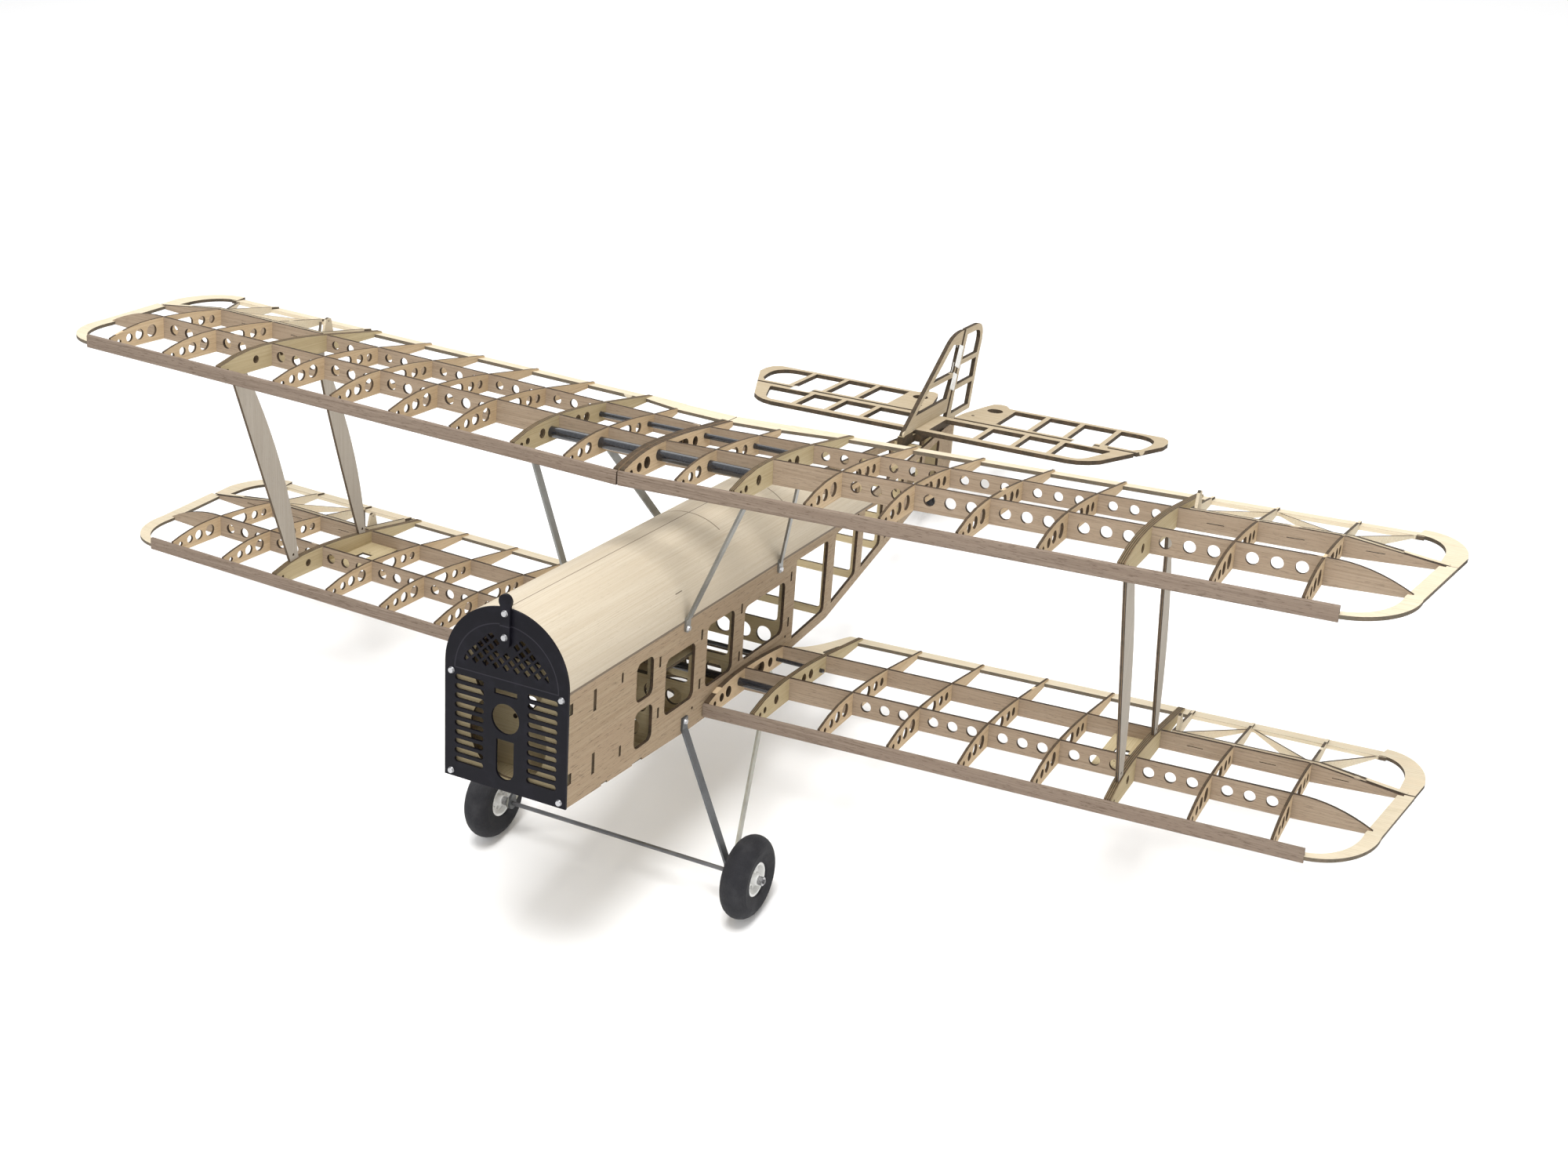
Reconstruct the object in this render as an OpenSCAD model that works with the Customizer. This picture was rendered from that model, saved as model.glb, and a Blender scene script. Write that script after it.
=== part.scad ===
// Radio-controlled biplane: the uncovered balsa and plywood airframe, ready for covering.
// Every piece is drawn with the fuselage level (+X nose, +Y port, +Z up);
// stance() then sits the model nose-up on its main wheels and tail wheel. Millimetres.

/* [Stance] */
// Nose-up angle of the parked model, degrees
pitch = 12; // [0:0.5:16]

/* [Wings] */
// Dihedral of each wing panel, degrees
dihedral = 1.8; // [0:0.1:4]
// Upper leading edge, distance ahead of the datum
upper_x = 44; // [20:1:70]
// Upper leading edge, height of its underside at the centre
upper_z = 258.8; // [230:0.1:290]
// Lower leading edge, distance ahead of the datum
lower_x = -21.8; // [-50:0.1:20]
// Lower leading edge, height of its underside at the centre
lower_z = 35.9; // [30:0.1:45]
// Distance of the cabane rib and lower first rib from the centre
first_rib = 106; // [90:1:120]
// Rib spacing inboard of the interplane struts
inner_pitch = 64.4; // [50:0.1:70]
// Rib spacing outboard of the interplane struts
outer_pitch = 66; // [50:0.1:70]
// Chord from the leading edge to the trailing edge
chord = 244; // [220:1:260]
// Front face of the main spar, behind the leading edge
main_spar_u = 71.7; // [60:0.1:80]
// Front face of the rear spar, behind the leading edge
rear_spar_u = 151; // [140:1:160]
// Sheet thickness of ribs
rib_t = 2.4; // [1.6:0.1:4]
// Thickness of spars
spar_t = 3; // [2:0.5:5]
// Leading edge strip height
le_height = 12.4; // [8:0.1:16]
// Aileron hinge axis, behind the leading edge
aileron_hinge_u = 155.5; // [155:0.1:158]

/* [Fuselage] */
// Half width over the side sheets
half_width = 57.5; // [50:0.5:65]
// Height of the straight top edge of the sides
side_top = 141.5; // [130:0.5:150]
// Height of the bottom edge at the nose
nose_bottom = 43; // [35:0.5:50]
// Where the sides start to taper, ahead of the datum
taper_x = -280; // [-320:1:-240]
// Vertical stern edge, ahead of the datum
stern_x = -740; // [-780:1:-700]
// Half width at the stern
stern_half = 6; // [4:0.5:12]
// Side sheet thickness
side_t = 3; // [2:0.5:4]
// Back of the black front plate
nose_x = 199; // [190:1:205]

/* [Landing gear] */
// Main axle, ahead of the datum
axle_x = 20; // [0:1:40]
// Main axle height
axle_z = -80; // [-90:1:-60]
// Main tyre diameter
tyre_d = 76; // [60:1:90]
// Main tyre width
tyre_w = 26; // [16:1:30]
// Middle of each main wheel, from the centre
wheel_y = 133.4; // [120:0.2:150]
// Tail wheel axle, ahead of the datum
tail_x = -707; // [-730:1:-680]
// Tail tyre diameter
tail_d = 30; // [20:1:36]

/* [Tail] */
// Underside of the stabiliser
stab_z = 150.5; // [145:0.5:160]
// Thickness of the tail frames
tail_t = 5; // [3:0.5:6]
// Elevator hinge axis, ahead of the datum
elevator_x = -700; // [-720:1:-680]
// Half span of the stabiliser root of the raked tip
stab_half = 263; // [240:1:280]

/* [Hidden] */
$fn = 48;
eps = 0.05;
screw_head = 5.7;
main_spar_top = 22.5;
rear_spar_top = 16.6;
crest_u = 60;
crest_h = 22.6;
nose_arc = 182;
back_arc = 690;
tail_u = 238;
tail_h = 5.1;
te_front = 226;
spar_back = rear_spar_u + spar_t;
tip_rib = first_rib + 5 * inner_pitch + 2 * outer_pitch;
strut_y = first_rib + 5 * inner_pitch;
root_rib_y = 58.3;
strip_t = 3.2;
hole_clear = 0.1;
upper_tube_d = 10;
lower_tube_d = 8;
upper_tube_x = -16;
upper_tube_z = 272;
lower_tube_x = -83;
lower_tube_z = 51;
rear_tube_d = 5;
rear_low_tube_d = 4;
upper_rear_x = -98;
upper_rear_z = 270;
lower_rear_x = -160;
lower_rear_z = 46;
tube_half = 106.5;
long_half = 112;
ground = axle_x * sin(pitch) + axle_z * cos(pitch) - tyre_d / 2;
front_end = (nose_x + 3.7) * cos(pitch) - (48 - screw_head / 2 + 0.7) * sin(pitch);
back_end = -824 * cos(pitch) - 236 * sin(pitch);
middle_x = (front_end + back_end) / 2;
tail_z = (ground + tail_d / 2 - tail_x * sin(pitch)) / cos(pitch);
taper = atan((half_width - stern_half) / (taper_x - stern_x));
deck_z = 143;
crest_z = deck_z + half_width;
inner_y = half_width - side_t;
stab_top = stab_z + tail_t;
hinge_pin = 1;
hinge_w = 14;
knuckle_d = 2.2;
aileron_start = 438.5;
cabane_u = [34, 134];
axle_d = 4;
balsa = [0.83, 0.70, 0.58];
pale_balsa = [0.90, 0.82, 0.66];
ply = [0.86, 0.76, 0.52];
deck_ply = [0.93, 0.85, 0.68];
alloy = [0.62, 0.63, 0.65];
carbon = [0.08, 0.08, 0.09];
steel = [0.75, 0.76, 0.78];
nylon = [0.93, 0.93, 0.90];

// ---------- shared placement ----------

// Parks the model on its three wheels, centred between the nose and the rudder.
module stance() {
  translate([-middle_x, 0, -ground])
    rotate([0, -pitch, 0])
      children();
}

// Port and starboard copies.
module both_sides() {
  children();
  mirror([0, 1, 0])
    children();
}

// Wing panel frame: X is minus the distance behind the leading edge, Y runs out to the tip.
module panel(x, z) {
  translate([x, 0, z])
    rotate([dihedral, 0, 0])
      children();
}

// Same, seen from the panel: brings an airframe shape into the panel frame.
module from_airframe(x, z) {
  rotate([-dihedral, 0, 0])
    translate([-x, 0, -z])
      children();
}

// A profile drawn as (distance behind the leading edge, height), t thick from span y outward.
module chordwise(y, t) {
  translate([0, y, 0])
    rotate([90, 0, 180])
      linear_extrude(t)
        children();
}

// A profile drawn as (span, height), t thick behind the station u.
module spanwise(u, t) {
  translate([-u - t, 0, 0])
    rotate([90, 0, 90])
      linear_extrude(t)
        children();
}

// A plan drawn as (distance behind the leading edge, span), t thick above h.
module plan(h, t) {
  translate([0, 0, h])
    mirror([1, 0, 0])
      linear_extrude(t)
        children();
}

// A side view drawn as (x, z), t thick centred on the plane y.
module upright(y, t) {
  translate([0, y + t / 2, 0])
    rotate([90, 0, 0])
      linear_extrude(t)
        children();
}

// Flat strip of section w by t from p to q, its width staying in the side view plane.
module strap(p, q, w, t) {
  d = q - p;
  l = norm(d);
  translate(p)
    rotate([0, atan2(d[0], d[2]), 0])
      rotate([-asin(d[1] / l), 0, 0])
        translate([-w / 2, -t / 2, 0])
          cube([w, t, l]);
}

// Round bend between two strips, along their width.
module bend(p, lean, w, t) {
  translate(p)
    rotate([0, lean, 0])
      rotate([0, 90, 0])
        cylinder(d = t + 0.3, h = w, center = true);
}

// Strip end lying flat against a side, with a round tip and a screw hole.
module foot(p, lean, w, t, l, hole) {
  translate(p)
    rotate([0, lean, 0])
      difference() {
        upright(0, t)
          polygon(concat([[w / 2, 0], [-w / 2, 0]], arc([0, -l], w / 2, 180, 360, 12)));
        translate([0, 0, -l])
          rotate([90, 0, 0])
            cylinder(d = hole, h = t + 2, center = true);
      }
}

// Points of an arc of n steps about c.
function arc(c, r, from, to, n = 5) = [
  for (i = [0:n])
    let (t = from + (to - from) * i / n)
      c + r * [cos(t), sin(t)]
];

// Points of a smooth curve from a to b that leans towards c.
function bow_line(a, c, b, n = 12) = [
  for (i = [0:n])
    let (t = i / n)
      (1 - t) * (1 - t) * a + 2 * t * (1 - t) * c + t * t * b
];

// Rectangle with rounded corners between two corners.
module rounded(a, b, r) {
  polygon(concat(
    arc([b[0] - r, b[1] - r], r, 0, 90),
    arc([a[0] + r, b[1] - r], r, 90, 180),
    arc([a[0] + r, a[1] + r], r, 180, 270),
    arc([b[0] - r, a[1] + r], r, 270, 360)
  ));
}

// ---------- wing section ----------

function station(i) = i <= 5 ? first_rib + i * inner_pitch : strut_y + (i - 5) * outer_pitch;

function arc_drop(r, x) = r - sqrt(r * r - x * x);

function back_top(u) = rear_spar_top + (tail_h - rear_spar_top) * (u - rear_spar_u)
  / (tail_u - rear_spar_u);

function top(u) = u < crest_u ? crest_h - arc_drop(nose_arc, crest_u - u)
  : u < rear_spar_u ? crest_h - arc_drop(back_arc, u - crest_u)
  : back_top(u);

function bottom(u) = u < rear_spar_u ? 1.1 * sin(180 * u / rear_spar_u)
  : (u - rear_spar_u) / (tail_u - rear_spar_u);

function middle(u) = (top(u) + bottom(u)) / 2;

function steps(a, b) = [for (i = [0:12]) a + (b - a) * i / 12];

// Section outline between two stations behind the leading edge.
module section(a, b) {
  polygon(concat(
    [for (u = steps(a, b)) [u, top(u)]],
    [for (u = steps(b, a)) [u, bottom(u)]]
  ));
}

module section_holes(tubes) {
  front = [[14, 2.5], [27, 4], [40, 5.2], [56, 6.2]];
  back = [[124, 4.6], [138, 4]];
  for (i = [0:len(front) - (tubes ? 2 : 1)])
    translate([front[i][0], middle(front[i][0])])
      circle(front[i][1]);
  for (i = [0:len(back) - (tubes ? 2 : 1)])
    translate([back[i][0], middle(back[i][0])])
      circle(back[i][1]);
  polygon(concat(
    arc([106, middle(100)], 5.6, -90, 90, 12),
    arc([92, middle(100)], 5.6, 90, 270, 12)
  ));
}

// Slots up from the underside that drop over both spars.
module spar_slots() {
  translate([main_spar_u, -2])
    square([spar_t, middle(main_spar_u) + 2]);
  translate([rear_spar_u, -2])
    square([spar_t, middle(rear_spar_u) + 2]);
}

// One rib, open between the two ends, centred on span y.
module rib(y, t, tail, tubes) {
  chordwise(y - t / 2, t)
    difference() {
      section(strip_t, tail);
      section_holes(tubes);
      spar_slots();
    }
}

// Tubes as holes, in the airframe frame.
module tube_bores(upper) {
  x1 = upper ? upper_tube_x : lower_tube_x;
  z1 = upper ? upper_tube_z : lower_tube_z;
  x2 = upper ? upper_rear_x : lower_rear_x;
  z2 = upper ? upper_rear_z : lower_rear_z;
  tube(x1, z1, (upper ? upper_tube_d : lower_tube_d) + hole_clear, tube_half);
  tube(x2, z2, (upper ? rear_tube_d : rear_low_tube_d) + hole_clear, upper ? tube_half : long_half);
}

module tube(x, z, d, half) {
  translate([x, 0, z])
    rotate([90, 0, 0])
      cylinder(d = d, h = 2 * half, center = true);
}

// Spar outline in (span, height): full depth to the last rib, then tapering to the tip.
module spar_outline(u, start, end, low, arch) {
  a = [tip_rib + 3, top(u)];
  b = [end, low + strip_t];
  polygon(concat(
    [[start, bottom(u)], [tip_rib + 3, bottom(u)], [end, low]],
    bow_line(b, (a + b) / 2 + [0, arch], a, 8),
    [[start, top(u)]]
  ));
}

// Slots down from the top of a spar, one per rib.
module rib_slots(u, ribs) {
  for (r = ribs)
    translate([r[0] - r[1] / 2, middle(u)])
      square([r[1], 30]);
}

// Three lightening holes in each bay of a spar.
module bay_holes(u, first, last, d) {
  for (i = [first:last], f = [0.22, 0.5, 0.78])
    translate([station(i) + f * (station(i + 1) - station(i)), middle(u)])
      circle(d = d);
}

upper_inner = [[3.4, 5], [54, rib_t]];
root_t = 4.8;
lower_inner = [[root_rib_y + root_t / 2, root_t]];
cabane_t = 5;
strut_t = 6.4;
shared_ribs = [
  [station(0), cabane_t], [station(1), rib_t], [station(2), rib_t], [station(3), rib_t],
  [station(4), rib_t], [station(5), strut_t], [station(6), rib_t], [station(7), rib_t]
];
upper_rib_list = concat(upper_inner, shared_ribs);
lower_rib_list = concat(lower_inner, shared_ribs);

// Slit for a hinge leaf, seen as (span, height).
module hinge_slits() {
  for (y = hinge_stations)
    translate([y - hinge_w / 2, bevel_h - 0.3])
      square([hinge_w, 0.6]);
}

hinge_stations = [462, 525, 586];

// ---------- wing pieces, port panel ----------

module leading_edge(start) {
  r = 1.2;
  chordwise(start, 586 - start)
    polygon(concat(
      [[strip_t, 0], [strip_t, le_height]],
      arc([r, le_height - r], r, 90, 180, 4),
      arc([r, r], r, 180, 270, 4)
    ));
}

module main_spar(start, list, first) {
  spanwise(main_spar_u, spar_t)
    difference() {
      spar_outline(main_spar_u, start, 626, 3, 9);
      rib_slots(main_spar_u, list);
      bay_holes(main_spar_u, first, 6, 10);
    }
}

module rear_spar(start, list, holes) {
  spanwise(rear_spar_u, spar_t)
    difference() {
      spar_outline(rear_spar_u, start, 638, 3, 0);
      rib_slots(rear_spar_u, list);
      hinge_slits();
      if (holes)
        bay_holes(rear_spar_u, 0, 4, 8.3);
    }
}

function ellipse(cu, cy, a, b, from, to, n) = [
  for (i = [0:n])
    let (t = from + (to - from) * i / n)
      [cu + a * cos(t), cy + b * sin(t)]
];

bow_w = 8;

// Curved tip bow from the leading edge strip to the rear spar.
module tip_bow() {
  difference() {
    plan(3, strip_t)
      polygon(concat(
        ellipse(66, 582, 66, 52, 180, 90, 16),
        [[spar_back, 646.4], [spar_back, 633.4]],
        ellipse(66, 582, 66 - bow_w, 39, 90, 180, 16)
      ));
    translate([-4, 580, 0])
      cube([6, 6, 20]);
    bow_notches();
  }
}

// Room for the spar ends and the leading edge strip in the bow.
module bow_notches() {
  translate([-main_spar_u - spar_t, 600, 0])
    cube([spar_t, 26, 12]);
  translate([-rear_spar_u - spar_t, 600, 0])
    cube([spar_t, 38, 12]);
}

// Trailing edge strip, tapered in section, notched for the rib tails.
module trailing_edge(start, end, list) {
  difference() {
    chordwise(start, end - start)
      polygon([
        [te_front, 0.9],
        [te_front, 4.3],
        [chord - 4, 2.9],
        [chord, 2],
        [chord, 1.1],
        [chord - 4, 0.9]
      ]);
    for (r = list)
      translate([-tail_u, r[0] - r[1] / 2, 0])
        cube([tail_u - te_front + 1, r[1], 10]);
  }
}

centre_tail_u = 195;
centre_tail_h = 12.6;

// Short rib of the upper centre section, ending at the cut-out.
module centre_rib(y, t) {
  chordwise(y - t / 2, t)
    difference() {
      union() {
        section(strip_t, rear_spar_u + spar_t);
        polygon([
          [spar_back - 0.01, 0],
          [spar_back - 0.01, top(spar_back)],
          [centre_tail_u, centre_tail_h],
          [centre_tail_u, 7.6]
        ]);
      }
      section_holes(true);
      spar_slots();
    }
}

// Flat strips that close the cut-out in the upper trailing edge.
module cutout_strips() {
  first = station(0) - cabane_t / 2;
  y0 = 54 + rib_t / 2;
  plan(8.6, 3)
    polygon([[centre_tail_u, 0.9], [centre_tail_u + 20, 0.9], [centre_tail_u + 20, y0], [centre_tail_u, y0]]);
  intersection() {
    translate([0, y0, 10.1])
      rotate([-7.9, 0, 0])
        translate([0, 0, -1.5])
          mirror([1, 0, 0])
            linear_extrude(3)
              polygon([
                [centre_tail_u, -3],
                [centre_tail_u + 20, -3],
                [centre_tail_u + 45, first - y0 + 3],
                [centre_tail_u + 31, first - y0 + 3]
              ]);
    translate([-chord - 10, y0, -2])
      cube([60, first - y0, 20]);
  }
}

// Flat fillet behind the lower wing root, with a slot.
module root_fillet() {
  end = station(0) - cabane_t / 2;
  plan(1.8, 2.4)
    difference() {
      polygon(concat(
        [[spar_back, root_rib_y], [spar_back + 28, root_rib_y]],
        bow_line([spar_back + 31, 62], [192, 76], [230, 91], 8),
        [[chord - 6, 95], [chord - 6, end], [spar_back, end]]
      ));
      hull_slot([187, 91.5], [206, 97.5], 2.6);
    }
}

// Slot of radius r between two points of a plan.
module hull_slot(a, b, r) {
  t = atan2(b[1] - a[1], b[0] - a[0]);
  polygon(concat(arc(b, r, t - 90, t + 90, 8), arc(a, r, t + 90, t + 270, 8)));
}

module upper_panel() {
  panel(upper_x, upper_z)
    children();
}

module lower_panel() {
  panel(lower_x, lower_z)
    children();
}

// Pocket for the flat interplane struts in the middle layer of the strut ribs.
module strut_pockets(x, z) {
  from_airframe(x, z)
    strut_shapes(0.04);
}

module strut_rib(x, z) {
  difference() {
    chordwise(strut_y - strut_t / 2, strut_t)
      difference() {
        section(strip_t, tail_u);
        translate([12, middle(12)])
          circle(1.6);
        translate([50, middle(50)])
          circle(3.8);
        translate([86, middle(86)])
          circle(3);
        spar_slots();
      }
    strut_pockets(x, z);
  }
}

module cabane_rib(x, z, upper) {
  difference() {
    chordwise(station(0) - cabane_t / 2, cabane_t)
      difference() {
        section(strip_t, tail_u);
        for (h = [[14, 2.2], [23.4, 3], [46, 4.4], [88, 3.6], [103, 4.6], [118, 4.6]])
          translate([h[0], middle(h[0])])
            circle(h[1]);
        spar_slots();
      }
    from_airframe(x, z)
      tube_bores(upper);
    if (upper)
      for (u = cabane_u)
        translate([-u - 4.05, station(0) - 1.35, -2])
          cube([8.1, 2.7, 14.7]);
  }
}

module upper_rib_set() {
  difference() {
    union() {
      centre_rib(3.4, 5);
      centre_rib(54, rib_t);
    }
    from_airframe(upper_x, upper_z)
      tube_bores(true);
  }
  for (i = [1, 2, 3, 4])
    rib(station(i), rib_t, tail_u, false);
  for (i = [6, 7])
    rib(station(i), rib_t, spar_back, false);
}

module lower_rib_set() {
  difference() {
    rib(root_rib_y + root_t / 2, root_t, spar_back, true);
    from_airframe(lower_x, lower_z)
      tube_bores(false);
  }
  for (i = [1, 2, 3, 4])
    rib(station(i), rib_t, tail_u, false);
  for (i = [6, 7])
    rib(station(i), rib_t, spar_back, false);
}

// Little plywood plate for the aileron servo, between the spars inboard of the strut rib.
module servo_plate() {
  y1 = strut_y - strut_t / 2;
  difference() {
    plan(2.4, 2)
      polygon([
        [main_spar_u + spar_t, y1 - 34],
        [rear_spar_u, y1 - 34],
        [rear_spar_u, y1],
        [main_spar_u + spar_t, y1]
      ]);
    translate([-122, y1 - 24, 0])
      cube([24, 12.5, 10]);
    for (u = [94.5, 125.5])
      translate([-u, y1 - 17.7, 0])
        cylinder(d = 1.6, h = 10);
  }
}

// ---------- ailerons ----------

bevel_h = middle(aileron_hinge_u);

// Aileron in its closed position, port panel.
module aileron() {
  nose_u = aileron_hinge_u + 1.5;
  corner_u = aileron_hinge_u + 3.8;
  back_u = aileron_hinge_u + 7;
  end_y = 612;
  difference() {
    union() {
      chordwise(aileron_start, 640 - aileron_start)
        polygon([
          [nose_u, bevel_h],
          [corner_u, top(corner_u)],
          [back_u, top(back_u)],
          [back_u, bottom(back_u)],
          [corner_u, bottom(corner_u)]
        ]);
      for (y = [aileron_start, station(6) - rib_t / 2, station(7) - rib_t / 2])
        chordwise(y, rib_t)
          section(back_u, tail_u);
      trailing_edge(aileron_start, end_y, []);
      aileron_tip(corner_u);
      aileron_brace(aileron_start + 4, station(6), back_u);
      aileron_brace(station(7) - 2.5, station(6) + 4, back_u);
      aileron_brace(station(7) + 2.5, 603, back_u);
      aileron_horn();
    }
    aileron_tip_taper();
    from_hinge(aileron_hinge_u, bevel_h)
      for (y = hinge_stations) {
        translate([0, y - hinge_w / 2 - 0.5, 0])
          rotate([-90, 0, 0])
            cylinder(d = knuckle_d + 1.2, h = hinge_w + 1);
        translate([-8, y - 2.2, -0.3])
          cube([8, 4.4, 0.6]);
      }
  }
}

// Frame of a hinge line: X forward from the axis.
module from_hinge(u, h) {
  translate([-u, 0, h])
    children();
}

// Upright diagonal brace from span y1 at the aileron spar to span y2 at the trailing edge.
module aileron_brace(y1, y2, u) {
  w = 1.5;
  intersection() {
    plan(0, 30)
      polygon([[u - 1, y1 - w], [u - 1, y1 + w], [te_front, y2 + w], [te_front, y2 - w]]);
    chordwise(min(y1, y2) - 5, abs(y2 - y1) + 10)
      polygon([[u - 1, 1.6], [u - 1, top(u) - 1.2], [te_front, 3.6], [te_front, 1.6]]);
  }
}

// Horn for the link between the upper and the lower aileron.
module aileron_horn() {
  chordwise(aileron_start + rib_t - 0.5, 2.5)
    difference() {
      polygon([[165, 10], [181, 10], [177, 26], [173, 27.5], [169.5, 26]]);
      translate([173.3, 24])
        circle(0.8);
    }
}

// Curved end of the aileron.
module aileron_tip(u) {
  plan(1.6, strip_t)
    polygon(concat(
      [[u, 646.2]],
      ellipse(186, 610, chord - 186, 40, 90, 0, 14),
      [[te_front + 1, 606]],
      ellipse(188, 608, 39.5, 25, 0, 90, 12),
      [[u, 632]]
    ));
}

// Slims the aileron leading edge down to the tip bow beyond the last rib.
module aileron_tip_taper() {
  translate([-175, 0, 0])
    rotate([90, 0, 90])
      linear_extrude(22)
        polygon([[tip_rib + 3, 16], [646, 4.8], [646, 30], [tip_rib + 3, 30]]);
}

// Fixed half of each hinge: leaf in the spar, two outer knuckles and the pin.
module hinge_fixed(leaf) {
  difference() {
    union() {
      translate([0, -hinge_w / 2, -0.3])
        cube([leaf, hinge_w, 0.6]);
      for (y = [-hinge_w / 2, 2.5])
        translate([0, y, 0])
          rotate([-90, 0, 0])
            cylinder(d = knuckle_d, h = hinge_w / 2 - 2.5);
      rotate([90, 0, 0])
        cylinder(d = hinge_pin, h = hinge_w, center = true);
    }
    difference() {
      translate([-2, -2.5, -2])
        cube([3.6, 5, 4]);
      rotate([90, 0, 0])
        cylinder(d = hinge_pin, h = hinge_w, center = true);
    }
  }
}

// Moving half: one knuckle running on the pin, and its leaf.
module hinge_moving(leaf) {
  difference() {
    union() {
      translate([-leaf, -2.2, -0.3])
        cube([leaf, 4.4, 0.6]);
      rotate([90, 0, 0])
        cylinder(d = knuckle_d, h = 4.4, center = true);
    }
    rotate([90, 0, 0])
      cylinder(d = hinge_pin + 0.1, h = 6, center = true);
  }
}

module aileron_leaves() {
  for (y = hinge_stations)
    translate([-aileron_hinge_u, y, bevel_h])
      hinge_moving(8);
}

// ---------- fuselage ----------

function bottom_z(x) = x > 0 ? 35 + (nose_bottom + 1.4 - 35) * x / nose_x
  : x > -180 ? 35
  : 40 + (-180 - x) * 42 / 560;

// Side view of a fuselage side, in (x, z).
module side_outline() {
  polygon([
    [nose_x, bottom_z(nose_x)],
    [0, 35],
    [-180, 35],
    [-186, bottom_z(-186)],
    [stern_x, bottom_z(stern_x)],
    [stern_x, side_top],
    [nose_x, side_top]
  ]);
}

// Plan of the port side sheet, bent where the taper starts.
module side_plan() {
  polygon([
    [nose_x, half_width],
    [taper_x, half_width],
    [stern_x, stern_half],
    [stern_x, stern_half - side_t / cos(taper)],
    [taper_x + side_t * tan(taper / 2), half_width - side_t],
    [nose_x, half_width - side_t]
  ]);
}

former_x = [194, 118.5, 57.2, -15.5, -90.4, -192];
former_t = 3;
firewall_x = 159.7;
firewall_t = 4;
bay_x = [-190.5, -283, -380, -464, -540, -612, -686];
post_half = [10.5, 10.5, 10, 8, 7, 6, 6];

module side_windows() {
  rounded([69.4, 94.7], [97, 130], 6.5);
  rounded([68.5, 52.3], [97.7, 86.3], 6.5);
  rounded([-2.8, 64.5], [48, 117], 6.5);
  rounded([-75.2, 64.5], [-24.4, 123.8], 6.5);
  rounded([-178.5, 65.5], [-95.8, 118.5], 7);
  for (z = [68, 123.5])
    translate([firewall_x - 0.1, z - 9.3])
      square([firewall_t + 0.2, 18.6]);
  for (x = former_x)
    former_slots(x);
  hull_slot([120, 124.2], [120, 130.8], 1.3);
  for (p = [[-2.5, 54], [-186, 59]])
    translate(p)
      circle(1.4);
  translate([139, 30])
    square([9, 13.6]);
  translate([83, 30])
    square([16, 11.2]);
}

// Slots in a side for the tabs of a former; the front one is open to the edge.
module former_slots(x) {
  z = x > 180 ? [68.6, 128.4] : x > 100 ? [62] : [72.7, 119.5];
  for (c = z)
    translate([x - 0.05, c - 4.8])
      square([x > 180 ? 10 : former_t + 0.1, 9.6]);
}

// Open bays of the tapered part, with rounded corners at the back.
module tail_bays() {
  for (i = [0:len(bay_x) - 2])
    let (a = bay_x[i] - post_half[i], b = bay_x[i + 1] + post_half[i + 1], h = side_top - 9)
      polygon(concat(
        [[a, bottom_z(a) + 10], [a, h]],
        arc([b + 5, h - 5], 5, 90, 180),
        arc([b + 5, bottom_z(b) + 15.5], 5, 180, 266)
      ));
}

module side() {
  difference() {
    intersection() {
      linear_extrude(200)
        side_plan();
      upright(0, 200)
        side_outline();
    }
    upright(0, 200) {
      side_windows();
      tail_bays();
    }
    tube(lower_tube_x, lower_tube_z, lower_tube_d + hole_clear, tube_half);
    tube(lower_rear_x, lower_rear_z, rear_low_tube_d + hole_clear, tube_half);
    side_screw_holes();
  }
}

// Pilot holes for the strut and gear screws.
module side_screw_holes() {
  for (p = side_screws)
    translate([p[0], half_width - side_t - 1, p[1]])
      rotate([-90, 0, 0])
        cylinder(d = 2.6, h = side_t + 2);
}

front_foot = [15.3, 59.6, 147];
rear_foot = [-161.5, 59.6, 147];
gear_foot = [12, 58.5, 40];
foot_l = 9.6;

front_top = cabane_top(cabane_u[0]);
rear_top = cabane_top(cabane_u[1]);

function cabane_top(u) =
  let (y = station(0), h = -1.4)
    [upper_x - u, y * cos(dihedral) - h * sin(dihedral), upper_z + y * sin(dihedral) + h * cos(dihedral)];

function lean(p, q) = atan2(q[0] - p[0], q[2] - p[2]);

function foot_hole(p, a) = [p[0] - foot_l * sin(a), p[2] - foot_l * cos(a)];

side_screws = [
  foot_hole(front_foot - [0, 0, 1.2], lean(front_foot, front_top)),
  foot_hole(rear_foot - [0, 0, 1.2], 0),
  [gear_foot[0], gear_foot[2] + 7]
];

// Black louvred radiator face.
module front_plate() {
  color(carbon)
    stance()
    difference() {
      translate([nose_x, 0, 0])
        rotate([90, 0, 90])
          linear_extrude(2)
            difference() {
              plate_outline();
              plate_openings();
            }
      for (y = [-1, 1], z = [48, 136])
        translate([nose_x - 1, y * 51.3, z])
          rotate([0, 90, 0])
            cylinder(d = 3.1, h = 5);
      for (z = [177, 197])
        translate([nose_x - 1, 0, z])
          rotate([0, 90, 0])
            cylinder(d = 3.1, h = 5);
    }
}

module plate_outline() {
  polygon(concat(
    [[-half_width, 43.5], [half_width, 43.5]],
    arc([0, deck_z], half_width, 0, 180, 40)
  ));
}

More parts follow.
